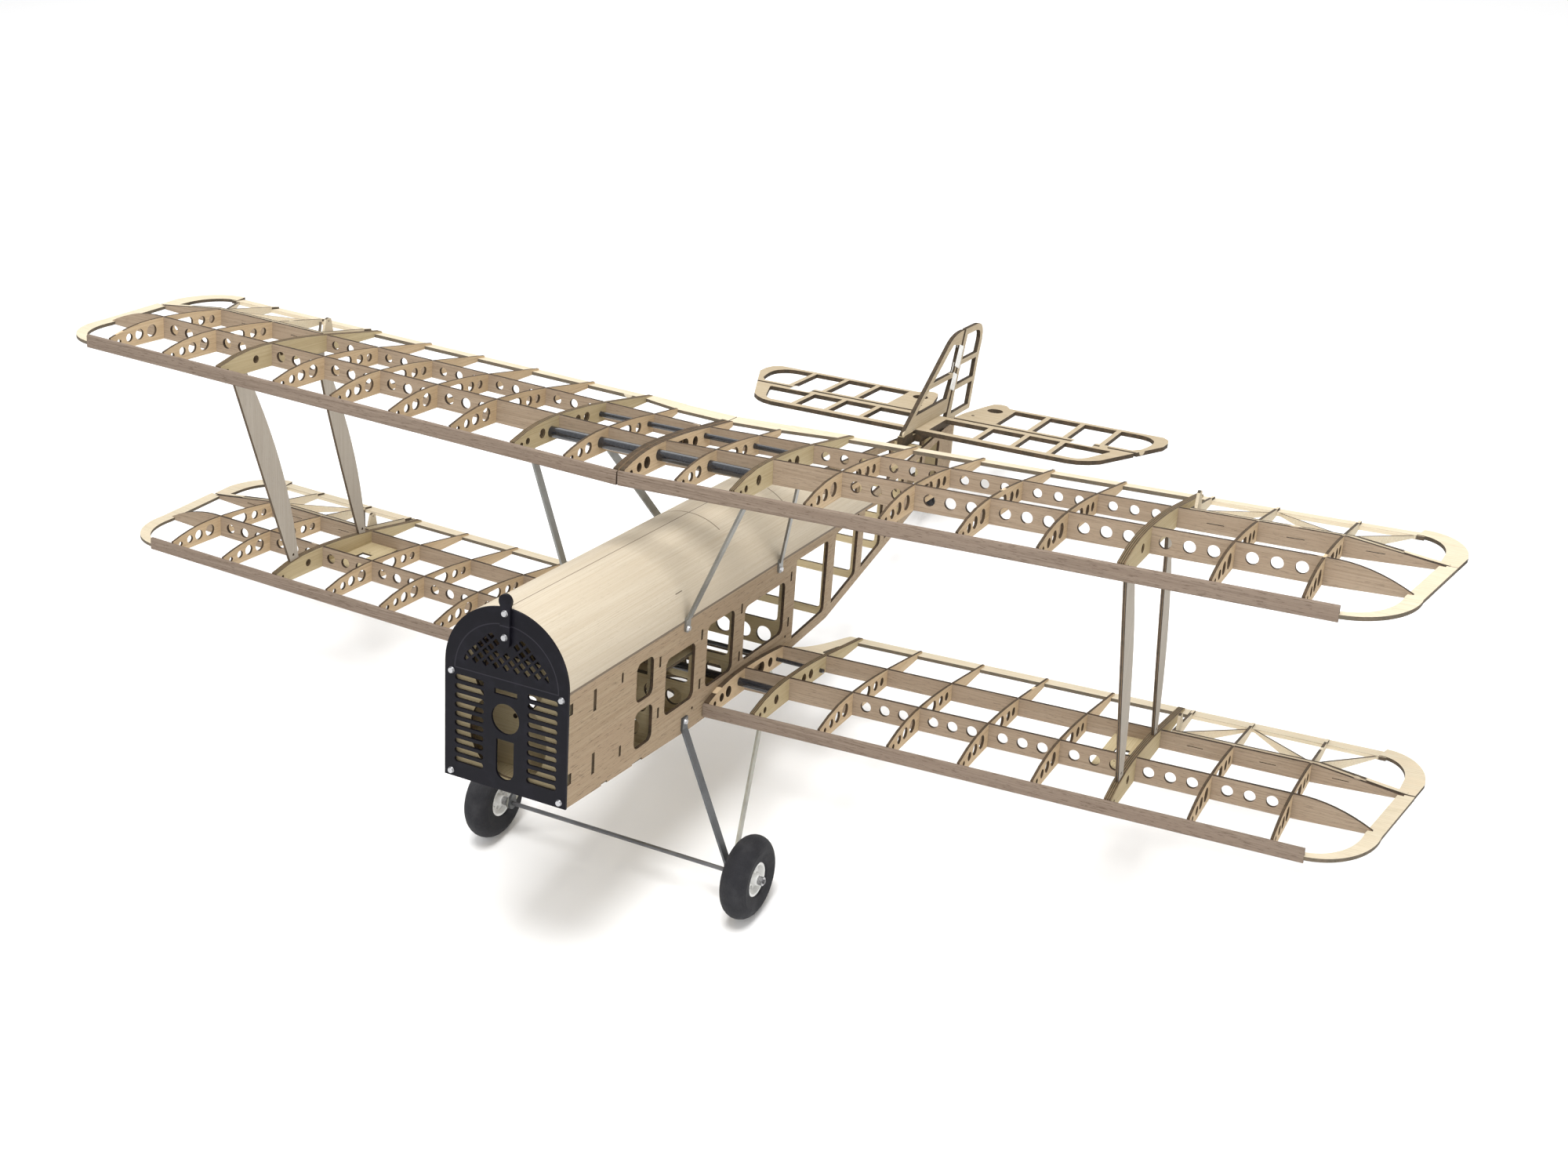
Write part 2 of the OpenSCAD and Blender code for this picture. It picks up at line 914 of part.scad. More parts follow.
module plate_openings() {
  translate([0, 106.5])
    circle(13);
  polygon(concat([[8.25, 88], [-8.25, 88]], arc([0, 61.25], 8.25, 180, 360, 14)));
  translate([-10.6, 126.4])
    square([21.2, 4.6]);
  for (s = [-1, 1], i = [0:9])
    translate([s * 34.25, 59.5 + 8 * i])
      rounded([-13.75, -2.5], [13.75, 2.5], 2.4);
  intersection() {
    for (i = [-9:9], j = [-9:9])
      let (y = 6.8 * (i - j) / sqrt(2), z = 160 + 6.8 * (i + j) / sqrt(2))
        if (z > 146.5 && z < 184 && (abs(y) > 6 || z < 163) && norm([y, z - 138]) < 42)
          translate([y, z])
            rotate(45)
              square(4.7, center = true);
    translate([0, 138])
      circle(41);
  }
}

// Strap and filler knob standing on the top of the front plate.
module front_strap() {
  color(carbon)
    stance()
    difference() {
      union() {
        translate([nose_x + 2, 0, 0])
          rotate([90, 0, 90])
            linear_extrude(3)
              polygon(concat(
                arc([0, 172.3], 4.5, 180, 360, 12),
                [[4.5, 202.5], [5.6, 205]],
                arc([0, 207], 5.8, -10, 190, 14),
                [[-5.6, 205], [-4.5, 202.5]]
              ));
      }
      for (z = [177, 197])
        translate([nose_x + 1, 0, z])
          rotate([0, 90, 0])
            cylinder(d = 3.1, h = 6);
    }
}

// Button head screw of length l pointing along -Z from the origin.
module screw(l, d) {
  rotate_extrude()
    polygon([[0, -l], [d / 2, -l], [d / 2, 0], [screw_head / 2, 0], [screw_head / 2 - 0.7, 1.7], [0, 1.7]]);
}

module front_plate_screws() {
  color(steel)
    stance() {
    for (y = [-1, 1], z = [48, 136])
      translate([nose_x + 2, y * 51.3, z])
        rotate([0, 90, 0])
          screw(8, 3);
    for (z = [177, 197])
      translate([nose_x + 5, 0, z])
        rotate([0, 90, 0])
          screw(11, 3);
  }
}

// Plywood firewall that carries the motor, behind the front plate.
module firewall() {
  x = firewall_x;
  low = bottom_z(x + firewall_t) + 3.05;
  color(ply)
    stance()
      difference() {
        translate([x, 0, 0])
          rotate([90, 0, 90])
            linear_extrude(firewall_t)
              difference() {
                union() {
                  translate([-inner_y, low])
                    square([2 * inner_y, side_top - low]);
                  for (z = [68, 123.5])
                    translate([-half_width + 0.7, z - 9])
                      square([2 * half_width - 1.4, 18]);
                }
                for (s = [-1, 1], z = [58, 128])
                  translate([s * 40, z])
                    circle(7);
              }
        translate([x - 1, 0, 106.5])
          rotate([0, 90, 0])
            cylinder(d = 12, h = 7);
        for (a = [45:90:315])
          translate([x - 1, 22 * cos(a), 106.5 + 22 * sin(a)])
            rotate([0, 90, 0])
              cylinder(d = 4.2, h = 7);
      }
}

module former_plate(x) {
  low = x > 190 ? bottom_z(x) + 1 : bottom_z(x + former_t) + 3.05;
  nose = x > 100;
  translate([x, 0, 0])
    rotate([90, 0, 90])
      linear_extrude(former_t)
        difference() {
          union() {
            translate([-inner_y, low])
              square([2 * inner_y, side_top - low]);
            intersection() {
              translate([0, deck_z])
                circle(half_width - 1.5 - eps);
              translate([-inner_y, side_top - 1])
                square([2 * inner_y, half_width + 4]);
            }
            former_tabs(x);
          }
          if (nose)
            former_nose_holes(low);
          else
            former_bay_holes(low);
        }
}

// Tabs that reach into the side sheets, just short of their outer faces.
module former_tabs(x) {
  z = x > 180 ? [68.6, 128.4] : x > 100 ? [62] : [72.7, 119.5];
  for (c = z)
    translate([-half_width + 0.7, c - 4.7])
      square([2 * half_width - 1.4, 9.4]);
}

// Two big round openings one above the other.
module former_nose_holes(low) {
  translate([0, deck_z + 2])
    circle(34);
  translate([0, (low + side_top) / 2 - 4])
    circle(36);
}

// Low web with four round holes, open above it up to the arch.
module former_bay_holes(low) {
  for (y = [-33, -11, 11, 33])
    translate([y, 55])
      circle(8);
  polygon(concat(
    arc([41.5, 75.5], 5, 270, 360),
    arc([0, deck_z], 46.5, 0, 180, 24),
    arc([-41.5, 75.5], 5, 180, 270)
  ));
}

module fuselage_formers() {
  color(ply)
    stance()
      difference() {
        for (x = former_x)
          former_plate(x);
        for (y = [-1, 1], z = [48, 136])
          translate([186, y * 51.3, z])
            rotate([0, 90, 0])
              cylinder(d = 3.1, h = 14);
        for (z = [177, 197])
          translate([186, 0, z])
            rotate([0, 90, 0])
              cylinder(d = 3.1, h = 14);
        translate([60, -battery_half, battery_z])
          cube([110, 2 * battery_half, 3]);
      }
}

battery_z = 60;
battery_half = 30;
servo_z = 104;

// Battery tray in the nose and servo tray under the cabane struts.
module nose_trays() {
  color(ply)
    stance() {
      difference() {
        translate([60.4, -battery_half, battery_z])
          cube([firewall_x - 60.4, 2 * battery_half, 3]);
        for (x = [82, 104, 140], y = [-15, 15])
          translate([x, y, battery_z - 1])
            cylinder(d = 18, h = 5);
      }
      difference() {
        translate([-12.3, -inner_y, servo_z])
          cube([69.3, 2 * inner_y, 3]);
        for (y = [-39, -13, 13, 39])
          translate([3, y - 6.5, servo_z - 1])
            cube([40, 13, 5]);
      }
    }
}

// Open rear formers, which follow the taper of the sides.
module tail_formers() {
  color(ply)
    stance() {
      translate([stern_x + 1, -2.9, bottom_z(stern_x + 14) + 0.5])
        cube([12, 5.8, side_top - bottom_z(stern_x) - 2]);
      for (i = [1:len(bay_x) - 1])
        tail_former(bay_x[i]);
    }
}

// Open rectangular frame between the tapered sides.
module tail_former(x) {
  half = inner_at(x);
  low = bottom_z(x) + 0.4;
  rim = 5;
  translate([x - 1.5, 0, 0])
    rotate([90, 0, 90])
      linear_extrude(3)
        difference() {
          polygon([[-half, low], [half, low], [half, side_top - eps], [-half, side_top - eps]]);
          if (half > 14)
            rounded([-half + rim, low + rim + 3], [half - rim, side_top - rim - 4], 4);
        }
}

// Clear half width between the tapered sides at the widest face of a former.
function inner_at(x) = half_width - side_t / cos(taper) - tan(taper) * max(0, taper_x - (x - 1.5)) - eps;

module deck_half() {
  difference() {
    translate([taper_x + 15, 0, deck_z])
      rotate([0, 90, 0])
        cylinder(r = half_width, h = nose_x - taper_x - 15);
    translate([taper_x, 0, deck_z])
      rotate([0, 90, 0])
        cylinder(r = half_width - 1.5, h = nose_x - taper_x + 10);
    translate([taper_x, -80, 0])
      cube([600, 160, side_top]);
    translate([taper_x, -80, 0])
      cube([600, 80, 300]);
  }
}

// Turtle deck: the last half hoop of the deck, cut off along a slope.
module turtle_deck() {
  color(deck_ply)
    stance()
    difference() {
      translate([-380, 0, deck_z])
        rotate([0, 90, 0])
          cylinder(r = half_width, h = taper_x + 15 + 380);
      translate([-400, 0, deck_z])
        rotate([0, 90, 0])
          cylinder(r = half_width - 1.5, h = 300);
      translate([-400, -80, 0])
        cube([300, 160, side_top + eps]);
      translate([0, 80, 0])
        rotate([90, 0, 0])
          linear_extrude(160)
            polygon([[-400, side_top], [-380, side_top], [taper_x + 14.9, crest_z], [taper_x + 14.9, 300], [-400, 300]]);
    }
}

// Bottom sheets: under the nose, and under the wing seat.
module belly() {
  end = nose_x - 8.5;
  color(ply)
    stance()
      difference() {
        union() {
          translate([0, inner_y, 0])
            rotate([90, 0, 0])
              linear_extrude(2 * inner_y)
                polygon([
                  [-180, 35], [0, 35], [end, bottom_z(end)], [end, bottom_z(end) + 3], [0, 38], [-180, 38]
                ]);
          belly_tabs();
        }
        for (x = [-174, -153, -132, -111])
          translate([x, -38, 30])
            cube([13, 76, 12]);
        for (x = [-76, -44, 12, 76, 128])
          translate([x, 0, 30])
            cylinder(d = 30, h = 20);
        for (y = [-1, 1])
          translate([-160, y * 47, 30])
            cylinder(d = 2.6, h = 12);
      }
}

// Tabs of the belly sheet in the notches of the sides.
module belly_tabs() {
  for (x = [[83.2, 98.8], [139.2, 147.8]])
    translate([x[0], half_width - 0.7, 0])
      rotate([90, 0, 0])
        linear_extrude(2 * half_width - 1.4)
          polygon([
            [x[0] - x[0], bottom_z(x[0]) + 0.6],
            [x[1] - x[0], bottom_z(x[1]) + 0.6],
            [x[1] - x[0], bottom_z(x[0]) + 2],
            [0, bottom_z(x[0]) + 2]
          ]);
}

// Block that carries the stabiliser on the stern.
module tail_saddle() {
  color(ply)
    stance() {
    difference() {
      translate([-716, -10, side_top + 0.02])
        cube([92, 20, stab_z - side_top - 0.02]);
      translate([-690, -4, side_top - 1])
        cube([54, 8, stab_z - side_top + 2]);
    }
    translate([-624.01, -3, side_top + 0.02])
      cube([40.01, 6, stab_z - side_top - 0.02]);
    translate([-615, -3, stab_z - 0.01])
      cube([31, 6, tail_t + 0.01]);
  }
}

// Strap under the stern and the fork that holds the tail wheel.
module tail_bracket() {
  base = [-640, 0, bottom_z(-640) - 0.6];
  neck = [tail_x + 26, 0, tail_z + tail_d / 2 + 4];
  color(alloy)
    stance()
    difference() {
      union() {
        translate([0, 5, 0])
          rotate([90, 0, 0])
            linear_extrude(10)
              polygon([
                [-640, bottom_z(-640)],
                [-684, bottom_z(-684)],
                [tail_x + 6, tail_z + tail_d / 2 + 4],
                [tail_x - 5, tail_z + tail_d / 2 + 4],
                [tail_x - 5, tail_z + tail_d / 2 + 2],
                [tail_x + 6, tail_z + tail_d / 2 + 2],
                [-683, bottom_z(-684) - 2],
                [-640, bottom_z(-640) - 2]
              ]);
        for (s = [-1, 1])
          translate([tail_x - 5, s * 6 - 1, tail_z])
            cube([10, 2, tail_d / 2 + 4]);
        translate([tail_x - 5, -7, tail_z + tail_d / 2 + 2])
          cube([10, 14, 2]);
        for (s = [-1, 1])
          translate([tail_x, s * 6, tail_z])
            rotate([90, 0, 0])
              cylinder(d = 10, h = 2, center = true);
        translate([tail_x, 0, tail_z])
          rotate([90, 0, 0])
            cylinder(d = 2, h = 16, center = true);
      }
      translate([-660, 0, 60])
        cylinder(d = 2.6, h = 40);
    }
}

module tail_wheel() {
  color(carbon)
    stance()
    translate([tail_x, 0, tail_z])
      rotate([90, 0, 0])
        rotate_extrude()
          polygon([
            [1.05, -4],
            [6, -4],
            [6, -3],
            [8, -4],
            [12.5, -3.8],
            [14.4, -2.4],
            [tail_d / 2, 0],
            [14.4, 2.4],
            [12.5, 3.8],
            [8, 4],
            [6, 3],
            [6, 4],
            [1.05, 4]
          ]);
}

// ---------- struts ----------

// Joiner tubes of both wings.
module wing_tubes() {
  color(carbon)
    stance() {
      hollow_tube(upper_tube_x, upper_tube_z, upper_tube_d, tube_half);
      hollow_tube(lower_tube_x, lower_tube_z, lower_tube_d, tube_half);
      hollow_tube(upper_rear_x, upper_rear_z, rear_tube_d, tube_half);
      hollow_tube(lower_rear_x, lower_rear_z, rear_low_tube_d, long_half);
    }
}

module hollow_tube(x, z, d, half) {
  difference() {
    tube(x, z, d, half);
    translate([x, 0, z])
      rotate([90, 0, 0])
        cylinder(d = d - 2, h = 2 * half + 2, center = true);
  }
}

module cabane(p, q, u) {
  w = 8;
  t = 2;
  a = lean(p, q);
  f = p - [0, 0, 1.2];
  difference() {
    union() {
      strap(f, q, w, t);
      bend(f, a, w, t);
      foot(f - [0, 1.1, 0], u > 100 ? 0 : a, w, t, foot_l, 3.1);
      bend(q, a, w, t);
      upper_panel()
        cabane_tab(u, w, t);
    }
    translate([-400, inner_y - 10, 0])
      cube([600, side_t + 10, 300]);
  }
}

// Tab that stands in the middle layer of the cabane rib.
module cabane_tab(u, w, t) {
  translate([-u - w / 2, station(0) - t / 2, -1.4])
    cube([w, t, 14]);
}

module cabane_struts() {
  color(alloy)
    stance()
    both_sides() {
      cabane(front_foot, front_top, cabane_u[0]);
      cabane(rear_foot, rear_top, cabane_u[1]);
    }
}

// Flat interplane struts, drawn in (x, z).
front_strut = concat(
  [[28, 283], [21, 263.5], [-47.7, 67.7], [-51.5, 57], [-62, 57]],
  bow_line([-58.5, 76], [-47.5, 176], [10, 283])
);
rear_strut = concat(
  [[-88, 283]],
  bow_line([-101.6, 246], [-113, 196], [-155.4, 66]),
  [[-157.4, 56], [-165.6, 56], [-164.7, 65]],
  bow_line([-163.8, 76], [-156, 165], [-106, 266]),
  [[-104.6, 283]]
);

module strut_shapes(extra) {
  upright(strut_mid, 3 + extra)
    union() {
      polygon(front_strut);
      polygon(rear_strut);
    }
}

strut_mid = 427.5;

module interplane_struts() {
  color(ply)
    stance()
      both_sides()
        upright(strut_mid, 3)
          difference() {
            union() {
              polygon(front_strut);
              polygon(rear_strut);
            }
            for (p = [[-52, 75], [-160, 72]])
              translate(p)
                circle(1.4);
          }
}

// ---------- landing gear ----------

leg_w = 9;
leg_t = 2;
front_eye_y = 113;
rear_eye_y = front_eye_y + leg_t;

module leg_eye(y) {
  upright(y, leg_t)
    translate([axle_x, axle_z])
      polygon(arc([0, 0], leg_w / 2 + 1, 0, 345, 23));
}

module axle_hole() {
  translate([axle_x, 0, axle_z])
    rotate([90, 0, 0])
      cylinder(d = axle_d, h = 400, center = true);
}

module gear_legs_front() {
  q = [axle_x, front_eye_y, axle_z + 7];
  color(alloy)
    stance()
    both_sides()
      difference() {
        union() {
          strap(gear_foot, q, leg_w, leg_t);
          bend(gear_foot, 0, leg_w, leg_t);
          translate([gear_foot[0] - leg_w / 2, half_width, gear_foot[2]])
            cube([leg_w, leg_t, 11]);
          bend(q - [0, 0.15, 0], 0, leg_w, leg_t);
          translate([axle_x - leg_w / 2, front_eye_y - leg_t / 2, axle_z])
            cube([leg_w, leg_t, 7]);
          leg_eye(front_eye_y);
        }
        axle_hole();
        translate([gear_foot[0], 50, gear_foot[2] + 7])
          rotate([-90, 0, 0])
            cylinder(d = 3.1, h = 20);
        translate([-50, half_width - 10, -90])
          cube([100, 10, 200]);
      }
}

module gear_legs_rear() {
  p = [-160, 57, 34];
  q = [axle_x - 10, rear_eye_y, axle_z + 7];
  color(alloy)
    stance()
    both_sides()
      difference() {
        union() {
          strap(p, q, leg_w, leg_t);
          translate([p[0] - leg_w / 2 - 1, 40, 33])
            cube([leg_w + 2, 18, 2]);
          bend(q + [0, 0.15, 0], lean(p, q), leg_w, leg_t);
          upright(rear_eye_y, leg_t)
            polygon([
              [axle_x + 4.5, axle_z + 4],
              [axle_x - 6.5, axle_z + 10.5],
              [axle_x - 13.5, axle_z + 4],
              [axle_x - 2, axle_z - 5]
            ]);
          leg_eye(rear_eye_y);
        }
        axle_hole();
        translate([-160, 47, 20])
          cylinder(d = 3.1, h = 30);
        translate([-200, 30, 35])
          cube([100, 60, 40]);
      }
}

module axle() {
  color(steel)
    stance()
    translate([axle_x, 0, axle_z])
      rotate([90, 0, 0])
        cylinder(d = axle_d, h = 2 * (wheel_y + 17), center = true);
}

// Collars either side of each wheel.
module axle_collars() {
  color(steel)
    stance()
    both_sides()
      for (y = [wheel_y - 15.3, wheel_y + 11.5])
        translate([axle_x, y, axle_z])
          rotate([-90, 0, 0])
            difference() {
              cylinder(d = 8, h = 4);
              translate([0, 0, -1])
                cylinder(d = axle_d, h = 6);
            }
}

module strut_screws() {
  color(steel)
    stance()
    both_sides() {
      for (p = [side_screws[0], side_screws[1]])
        translate([p[0], half_width + 2 + eps, p[1]])
          rotate([-90, 0, 0])
            screw(5, 2.6);
      translate([side_screws[2][0], half_width + 2, side_screws[2][1]])
        rotate([-90, 0, 0])
          screw(5, 2.6);
      translate([-160, 47, 33])
        rotate([180, 0, 0])
          screw(5, 2.6);
    }
}

module tyre_profile() {
  polygon(concat(
    [[15.5, -9], [17, -10.5]],
    [for (i = [0:12])
      let (a = -78 + i * 13)
        [25 + (tyre_d / 2 - 25) * cos(a), tyre_w / 2 * sin(a)]],
    [[17, 10.5], [15.5, 9]]
  ));
}

module tyre() {
  translate([axle_x, wheel_y, axle_z])
    rotate([90, 0, 0])
      rotate_extrude()
        tyre_profile();
}

module hub() {
  translate([axle_x, wheel_y, axle_z])
    rotate([90, 0, 0])
      difference() {
        union() {
          difference() {
            cylinder(r = 15.5, h = 18, center = true);
            for (s = [-1, 1])
              translate([0, 0, s * 8])
                cylinder(r = 13.5, h = 8, center = true);
          }
          cylinder(r = 5, h = 22, center = true);
        }
        cylinder(d = axle_d + 0.1, h = 40, center = true);
        for (a = [0:45:315])
          rotate(a)
            translate([9.3, 0, 0])
              cylinder(d = 4, h = 40, center = true);
      }
}

// ---------- tail ----------

// Tail plans are drawn as (distance aft of the datum, span).
module tail_plan(z) {
  translate([0, 0, z])
    mirror([1, 0, 0])
      linear_extrude(tail_t)
        children();
}

hinge_aft = -elevator_x;

function tip_y(u) = 216 + (u - 640) * 0.435;

function stab_edge(s) = [
  [624, s * 185], [627, s * 197], [634, s * 208], [645, s * tip_y(645)],
  [hinge_aft - 2, s * tip_y(hinge_aft - 2)]
];

module stab_outline() {
  port = stab_edge(1);
  starboard = stab_edge(-1);
  polygon(concat(port, [for (i = [len(port) - 1:-1:0]) starboard[i]]));
}

module stab_bays() {
  back = hinge_aft - 12;
  for (e = [[15, 69], [75, 114], [120, 157]])
    translate([634, e[0]])
      square([back - 634, e[1] - e[0]]);
  polygon(concat(
    [[634, 163]],
    bow_line([634, 190], [637, 200], [652, 205], 5),
    [[back - 3, 217], [back, 216], [back, 163]]
  ));
}

module tail_hinge_cut(stations) {
  for (y = stations)
    translate([-hinge_aft - 10, y - hinge_w / 2, stab_z + tail_t / 2 - 0.3])
      cube([20, hinge_w, 0.6]);
}

tail_hinges = [45, 132, 220];

module stabiliser() {
  color(pale_balsa)
    stance()
    difference() {
      tail_plan(stab_z)
        difference() {
          stab_outline();
          stab_bays();
          mirror([0, 1])
            stab_bays();
        }
      both_sides()
        for (y = tail_hinges)
          translate([-hinge_aft, y - hinge_w / 2, stab_z + tail_t / 2 - 0.3])
            cube([9, hinge_w, 0.6]);
    }
}

module elevator_outline() {
  polygon([
    [hinge_aft + 1.6, 19],
    [hinge_aft + 1.6, tip_y(hinge_aft + 1.6)],
    [747, 262.2],
    [765, stab_half],
    [778, 260],
    [787, 252],
    [786, 60],
    [797, 52],
    [798, 44],
    [793, 37],
    [780, 33],
    [731, 22]
  ]);
}

module elevator_bays() {
  front = hinge_aft + 9;
  for (e = [[70, 109], [115, 152], [158, 197]])
    translate([front, e[0]])
      square([70, e[1] - e[0]]);
  polygon(concat(
    [[front, 203], [front, 236]],
    bow_line([720, 244], [752, 252], [765, 246], 5),
    bow_line([773, 240], [779, 233], [779, 222], 5),
    [[779, 203]]
  ));
  translate([764, 49])
    circle(9.5);
  translate([727, 34])
    circle(2.2);
}

// Elevator in its closed position, port half, with a bevelled front edge.
module elevator() {
  mid = stab_z + tail_t / 2;
  difference() {
    tail_plan(stab_z)
      difference() {
        elevator_outline();
        elevator_bays();
      }
    for (s = [-1, 1])
      translate([-hinge_aft - 1.6, 0, mid])
        rotate([s * 90 - 90, 0, 0])
          rotate([90, 0, 180])
            linear_extrude(600, center = true)
              polygon([[-1, 0], [0, 0.2], [1.7, 2.6], [-1, 2.6]]);
    for (y = tail_hinges) {
      translate([-hinge_aft, y - hinge_w / 2 - 0.5, mid])
        rotate([-90, 0, 0])
          cylinder(d = knuckle_d + 1.2, h = hinge_w + 1);
      translate([-hinge_aft - 8, y - 2.2, mid - 0.3])
        cube([8, 4.4, 0.6]);
    }
  }
}

module elevator_leaves() {
  for (y = tail_hinges)
    translate([-hinge_aft, y, stab_z + tail_t / 2])
      hinge_moving(8);
}

// Raked hinge line of the rudder, in (x, z).
fin_foot = [-722, stab_top];
fin_head = [-757, 249.6];
fin_rake = atan((fin_foot[0] - fin_head[0]) / (fin_head[1] - fin_foot[1]));

module fin() {
  b = stab_top;
  color(pale_balsa)
    stance()
    difference() {
      upright(0, tail_t)
        difference() {
          polygon([
            [-586, b], [-588, b + 3], [-706, 237.6], [-713, 242], [-722, 245.8], [-733, 248.4], [-744, 249.5],
            fin_head + [2.2, 0], fin_foot + [2.2, 0]
          ]);
          polygon([[-620, b + 17], [-716.5, b + 17], [-730, 196], [-657, 196]]);
          polygon([[-667, 202], [-733, 202], [-744, 233], [-724, 237], [-712, 230.5]]);
        }
      rudder_hinge_places()
        translate([0, -hinge_w / 2, -0.3])
          cube([8, hinge_w, 0.6]);
    }
}

// Frames on the rudder hinge line: Y runs up the line.
module rudder_hinge_places() {
  for (s = [18, 52, 84])
    rudder_axis()
      translate([0, 0, s])
        rotate([90, 0, 0])
          children();
}

// Puts a shape with its Z axis along the rudder hinge line.
module rudder_axis() {
  translate([fin_foot[0], 0, fin_foot[1]])
    rotate([0, -fin_rake, 0])
      children();
}

module rudder() {
  low = side_top + 2;
  color(pale_balsa)
    stance()
      difference() {
        upright(0, tail_t)
          difference() {
            polygon(concat([fin_head - [1.8, 0]], bow_line([-797, 249.6], [-828, 250], [-820, 222], 10), [
              [-814, 203], [-801, low],
              [-753.5, low], [-753.5, 86], [-750, 83], [-743, 83], [-743, low],
              fin_foot - [1.8 + (low - stab_top) * tan(fin_rake), stab_top - low],
              fin_foot - [1.8, 0]
            ]));
            polygon([[-736, 150], [-794, 150], [-800, 178], [-743, 178]]);
            polygon([[-746, 184], [-801, 184], [-806, 207], [-754, 207]]);
            polygon(concat(
              [[-757, 213], [-807, 213]],
              bow_line([-812, 226], [-817, 242], [-798, 242], 6),
              [[-768, 242]]
            ));
          }
        rudder_bevel();
        rudder_hinge_places() {
          rotate([90, 0, 0])
            cylinder(d = knuckle_d + 1.2, h = hinge_w + 1, center = true);
          translate([-8, -2.2, -0.3])
            cube([8, 4.4, 0.6]);
        }
      }
}

module rudder_bevel() {
  rudder_axis()
    for (s = [0, 1])
      mirror([0, s, 0])
        translate([0, 0, -80])
          linear_extrude(300)
            polygon([[3, 0.2], [-1.7, 0.2], [-3.6, 2.6], [3, 2.6]]);
}

module hinge_leaves() {
  color(nylon)
    stance() {
    both_sides() {
      upper_panel()
        aileron_fixed_leaves();
      lower_panel()
        aileron_fixed_leaves();
      for (y = tail_hinges)
        translate([-hinge_aft, y, stab_z + tail_t / 2])
          hinge_fixed(8);
    }
    rudder_hinge_places()
      hinge_fixed(8);
  }
}

module aileron_fixed_leaves() {
  for (y = hinge_stations)
    translate([-aileron_hinge_u, y, bevel_h])
      hinge_fixed(3.2);
}

// ---------- mirrored and paired pieces ----------

module side_port() {
  color(balsa)
    stance()
      side();
}

module side_starboard() {
  color(balsa)
    stance()
      mirror([0, 1, 0])
        side();
}

module deck_port() {
  color(deck_ply)
    stance()
      deck_half();
}

module deck_starboard() {
  color(deck_ply)
    stance()
      mirror([0, 1, 0])
        deck_half();
}

module tyre_port() {
  color(carbon)
    stance()
      tyre();
}

module tyre_starboard() {
  color(carbon)
    stance()
      mirror([0, 1, 0])
        tyre();
}

module hub_port() {
  color(nylon)
    stance()
      hub();
}

module hub_starboard() {
  color(nylon)
    stance()
      mirror([0, 1, 0])
        hub();
}

module elevator_port() {
  color(pale_balsa)
    stance()
      elevator();
}

module elevator_starboard() {
  color(pale_balsa)
    stance()
      mirror([0, 1, 0])
        elevator();
}

// Both panels of one wing.
module upper_wing(c) {
  color(c)
    stance()
      both_sides()
        upper_panel()
          children();
}

module lower_wing(c) {
  color(c)
    stance()
      both_sides()
        lower_panel()
          children();
}

module upper_leading_edges() {
  upper_wing(balsa)
    leading_edge(0.9);
}

module upper_main_spars() {
  upper_wing(balsa)
    main_spar(0.9, upper_rib_list, 1);
}

module upper_rear_spars() {
  upper_wing(balsa)
    rear_spar(0.9, upper_rib_list, true);
}

module upper_ribs() {
  upper_wing(balsa)
    upper_rib_set();
}

module upper_ply_ribs() {
  upper_wing(ply) {
    cabane_rib(upper_x, upper_z, true);
    strut_rib(upper_x, upper_z);
  }
}

module upper_trailing_edges() {
  upper_wing(pale_balsa) {
    cutout_strips();
    trailing_edge(station(0) - cabane_t / 2, aileron_start - 2, shared_ribs);
  }
}

module upper_tips() {
  upper_wing(pale_balsa)
    tip_bow();
}

module lower_leading_edges() {
  lower_wing(balsa)
    leading_edge(root_rib_y);
}

module lower_main_spars() {
  lower_wing(balsa)
    main_spar(root_rib_y, lower_rib_list, 1);
}

module lower_rear_spars() {
  lower_wing(balsa)
    rear_spar(root_rib_y, lower_rib_list, false);
}

module lower_ribs() {
  lower_wing(balsa)
    lower_rib_set();
}

module lower_ply_ribs() {
  lower_wing(ply) {
    cabane_rib(lower_x, lower_z, false);
    strut_rib(lower_x, lower_z);
  }
}

module lower_trailing_edges() {
  lower_wing(pale_balsa) {
    trailing_edge(station(0) - cabane_t / 2, aileron_start - 2, lower_rib_list);
    root_fillet();
  }
}

module lower_tips() {
  lower_wing(pale_balsa)
    tip_bow();
}

module servo_plates() {
  lower_wing(ply)
    servo_plate();
}

module aileron_upper_port() {
  color(pale_balsa)
    stance()
      upper_panel()
        aileron();
}

module aileron_upper_starboard() {
  color(pale_balsa)
    stance()
      mirror([0, 1, 0])
        upper_panel()
          aileron();
}

module aileron_lower_port() {
  color(pale_balsa)
    stance()
      lower_panel()
        aileron();
}

module aileron_lower_starboard() {
  color(pale_balsa)
    stance()
      mirror([0, 1, 0])
        lower_panel()
          aileron();
}

module aileron_leaves_upper_port() {
  color(nylon)
    stance()
      upper_panel()
        aileron_leaves();
}

module aileron_leaves_upper_starboard() {
  color(nylon)
    stance()
      mirror([0, 1, 0])
        upper_panel()
          aileron_leaves();
}

module aileron_leaves_lower_port() {
  color(nylon)
    stance()
      lower_panel()
        aileron_leaves();
}

module aileron_leaves_lower_starboard() {
  color(nylon)
    stance()
      mirror([0, 1, 0])
        lower_panel()
          aileron_leaves();
}

module elevator_leaves_port() {
  color(nylon)
    stance()
      elevator_leaves();
}

module elevator_leaves_starboard() {
  color(nylon)
    stance()
      mirror([0, 1, 0])
        elevator_leaves();
}

module rudder_leaves() {
  color(nylon)
    stance()
      rudder_hinge_places()
        hinge_moving(8);
}

// ---------- nodes ----------

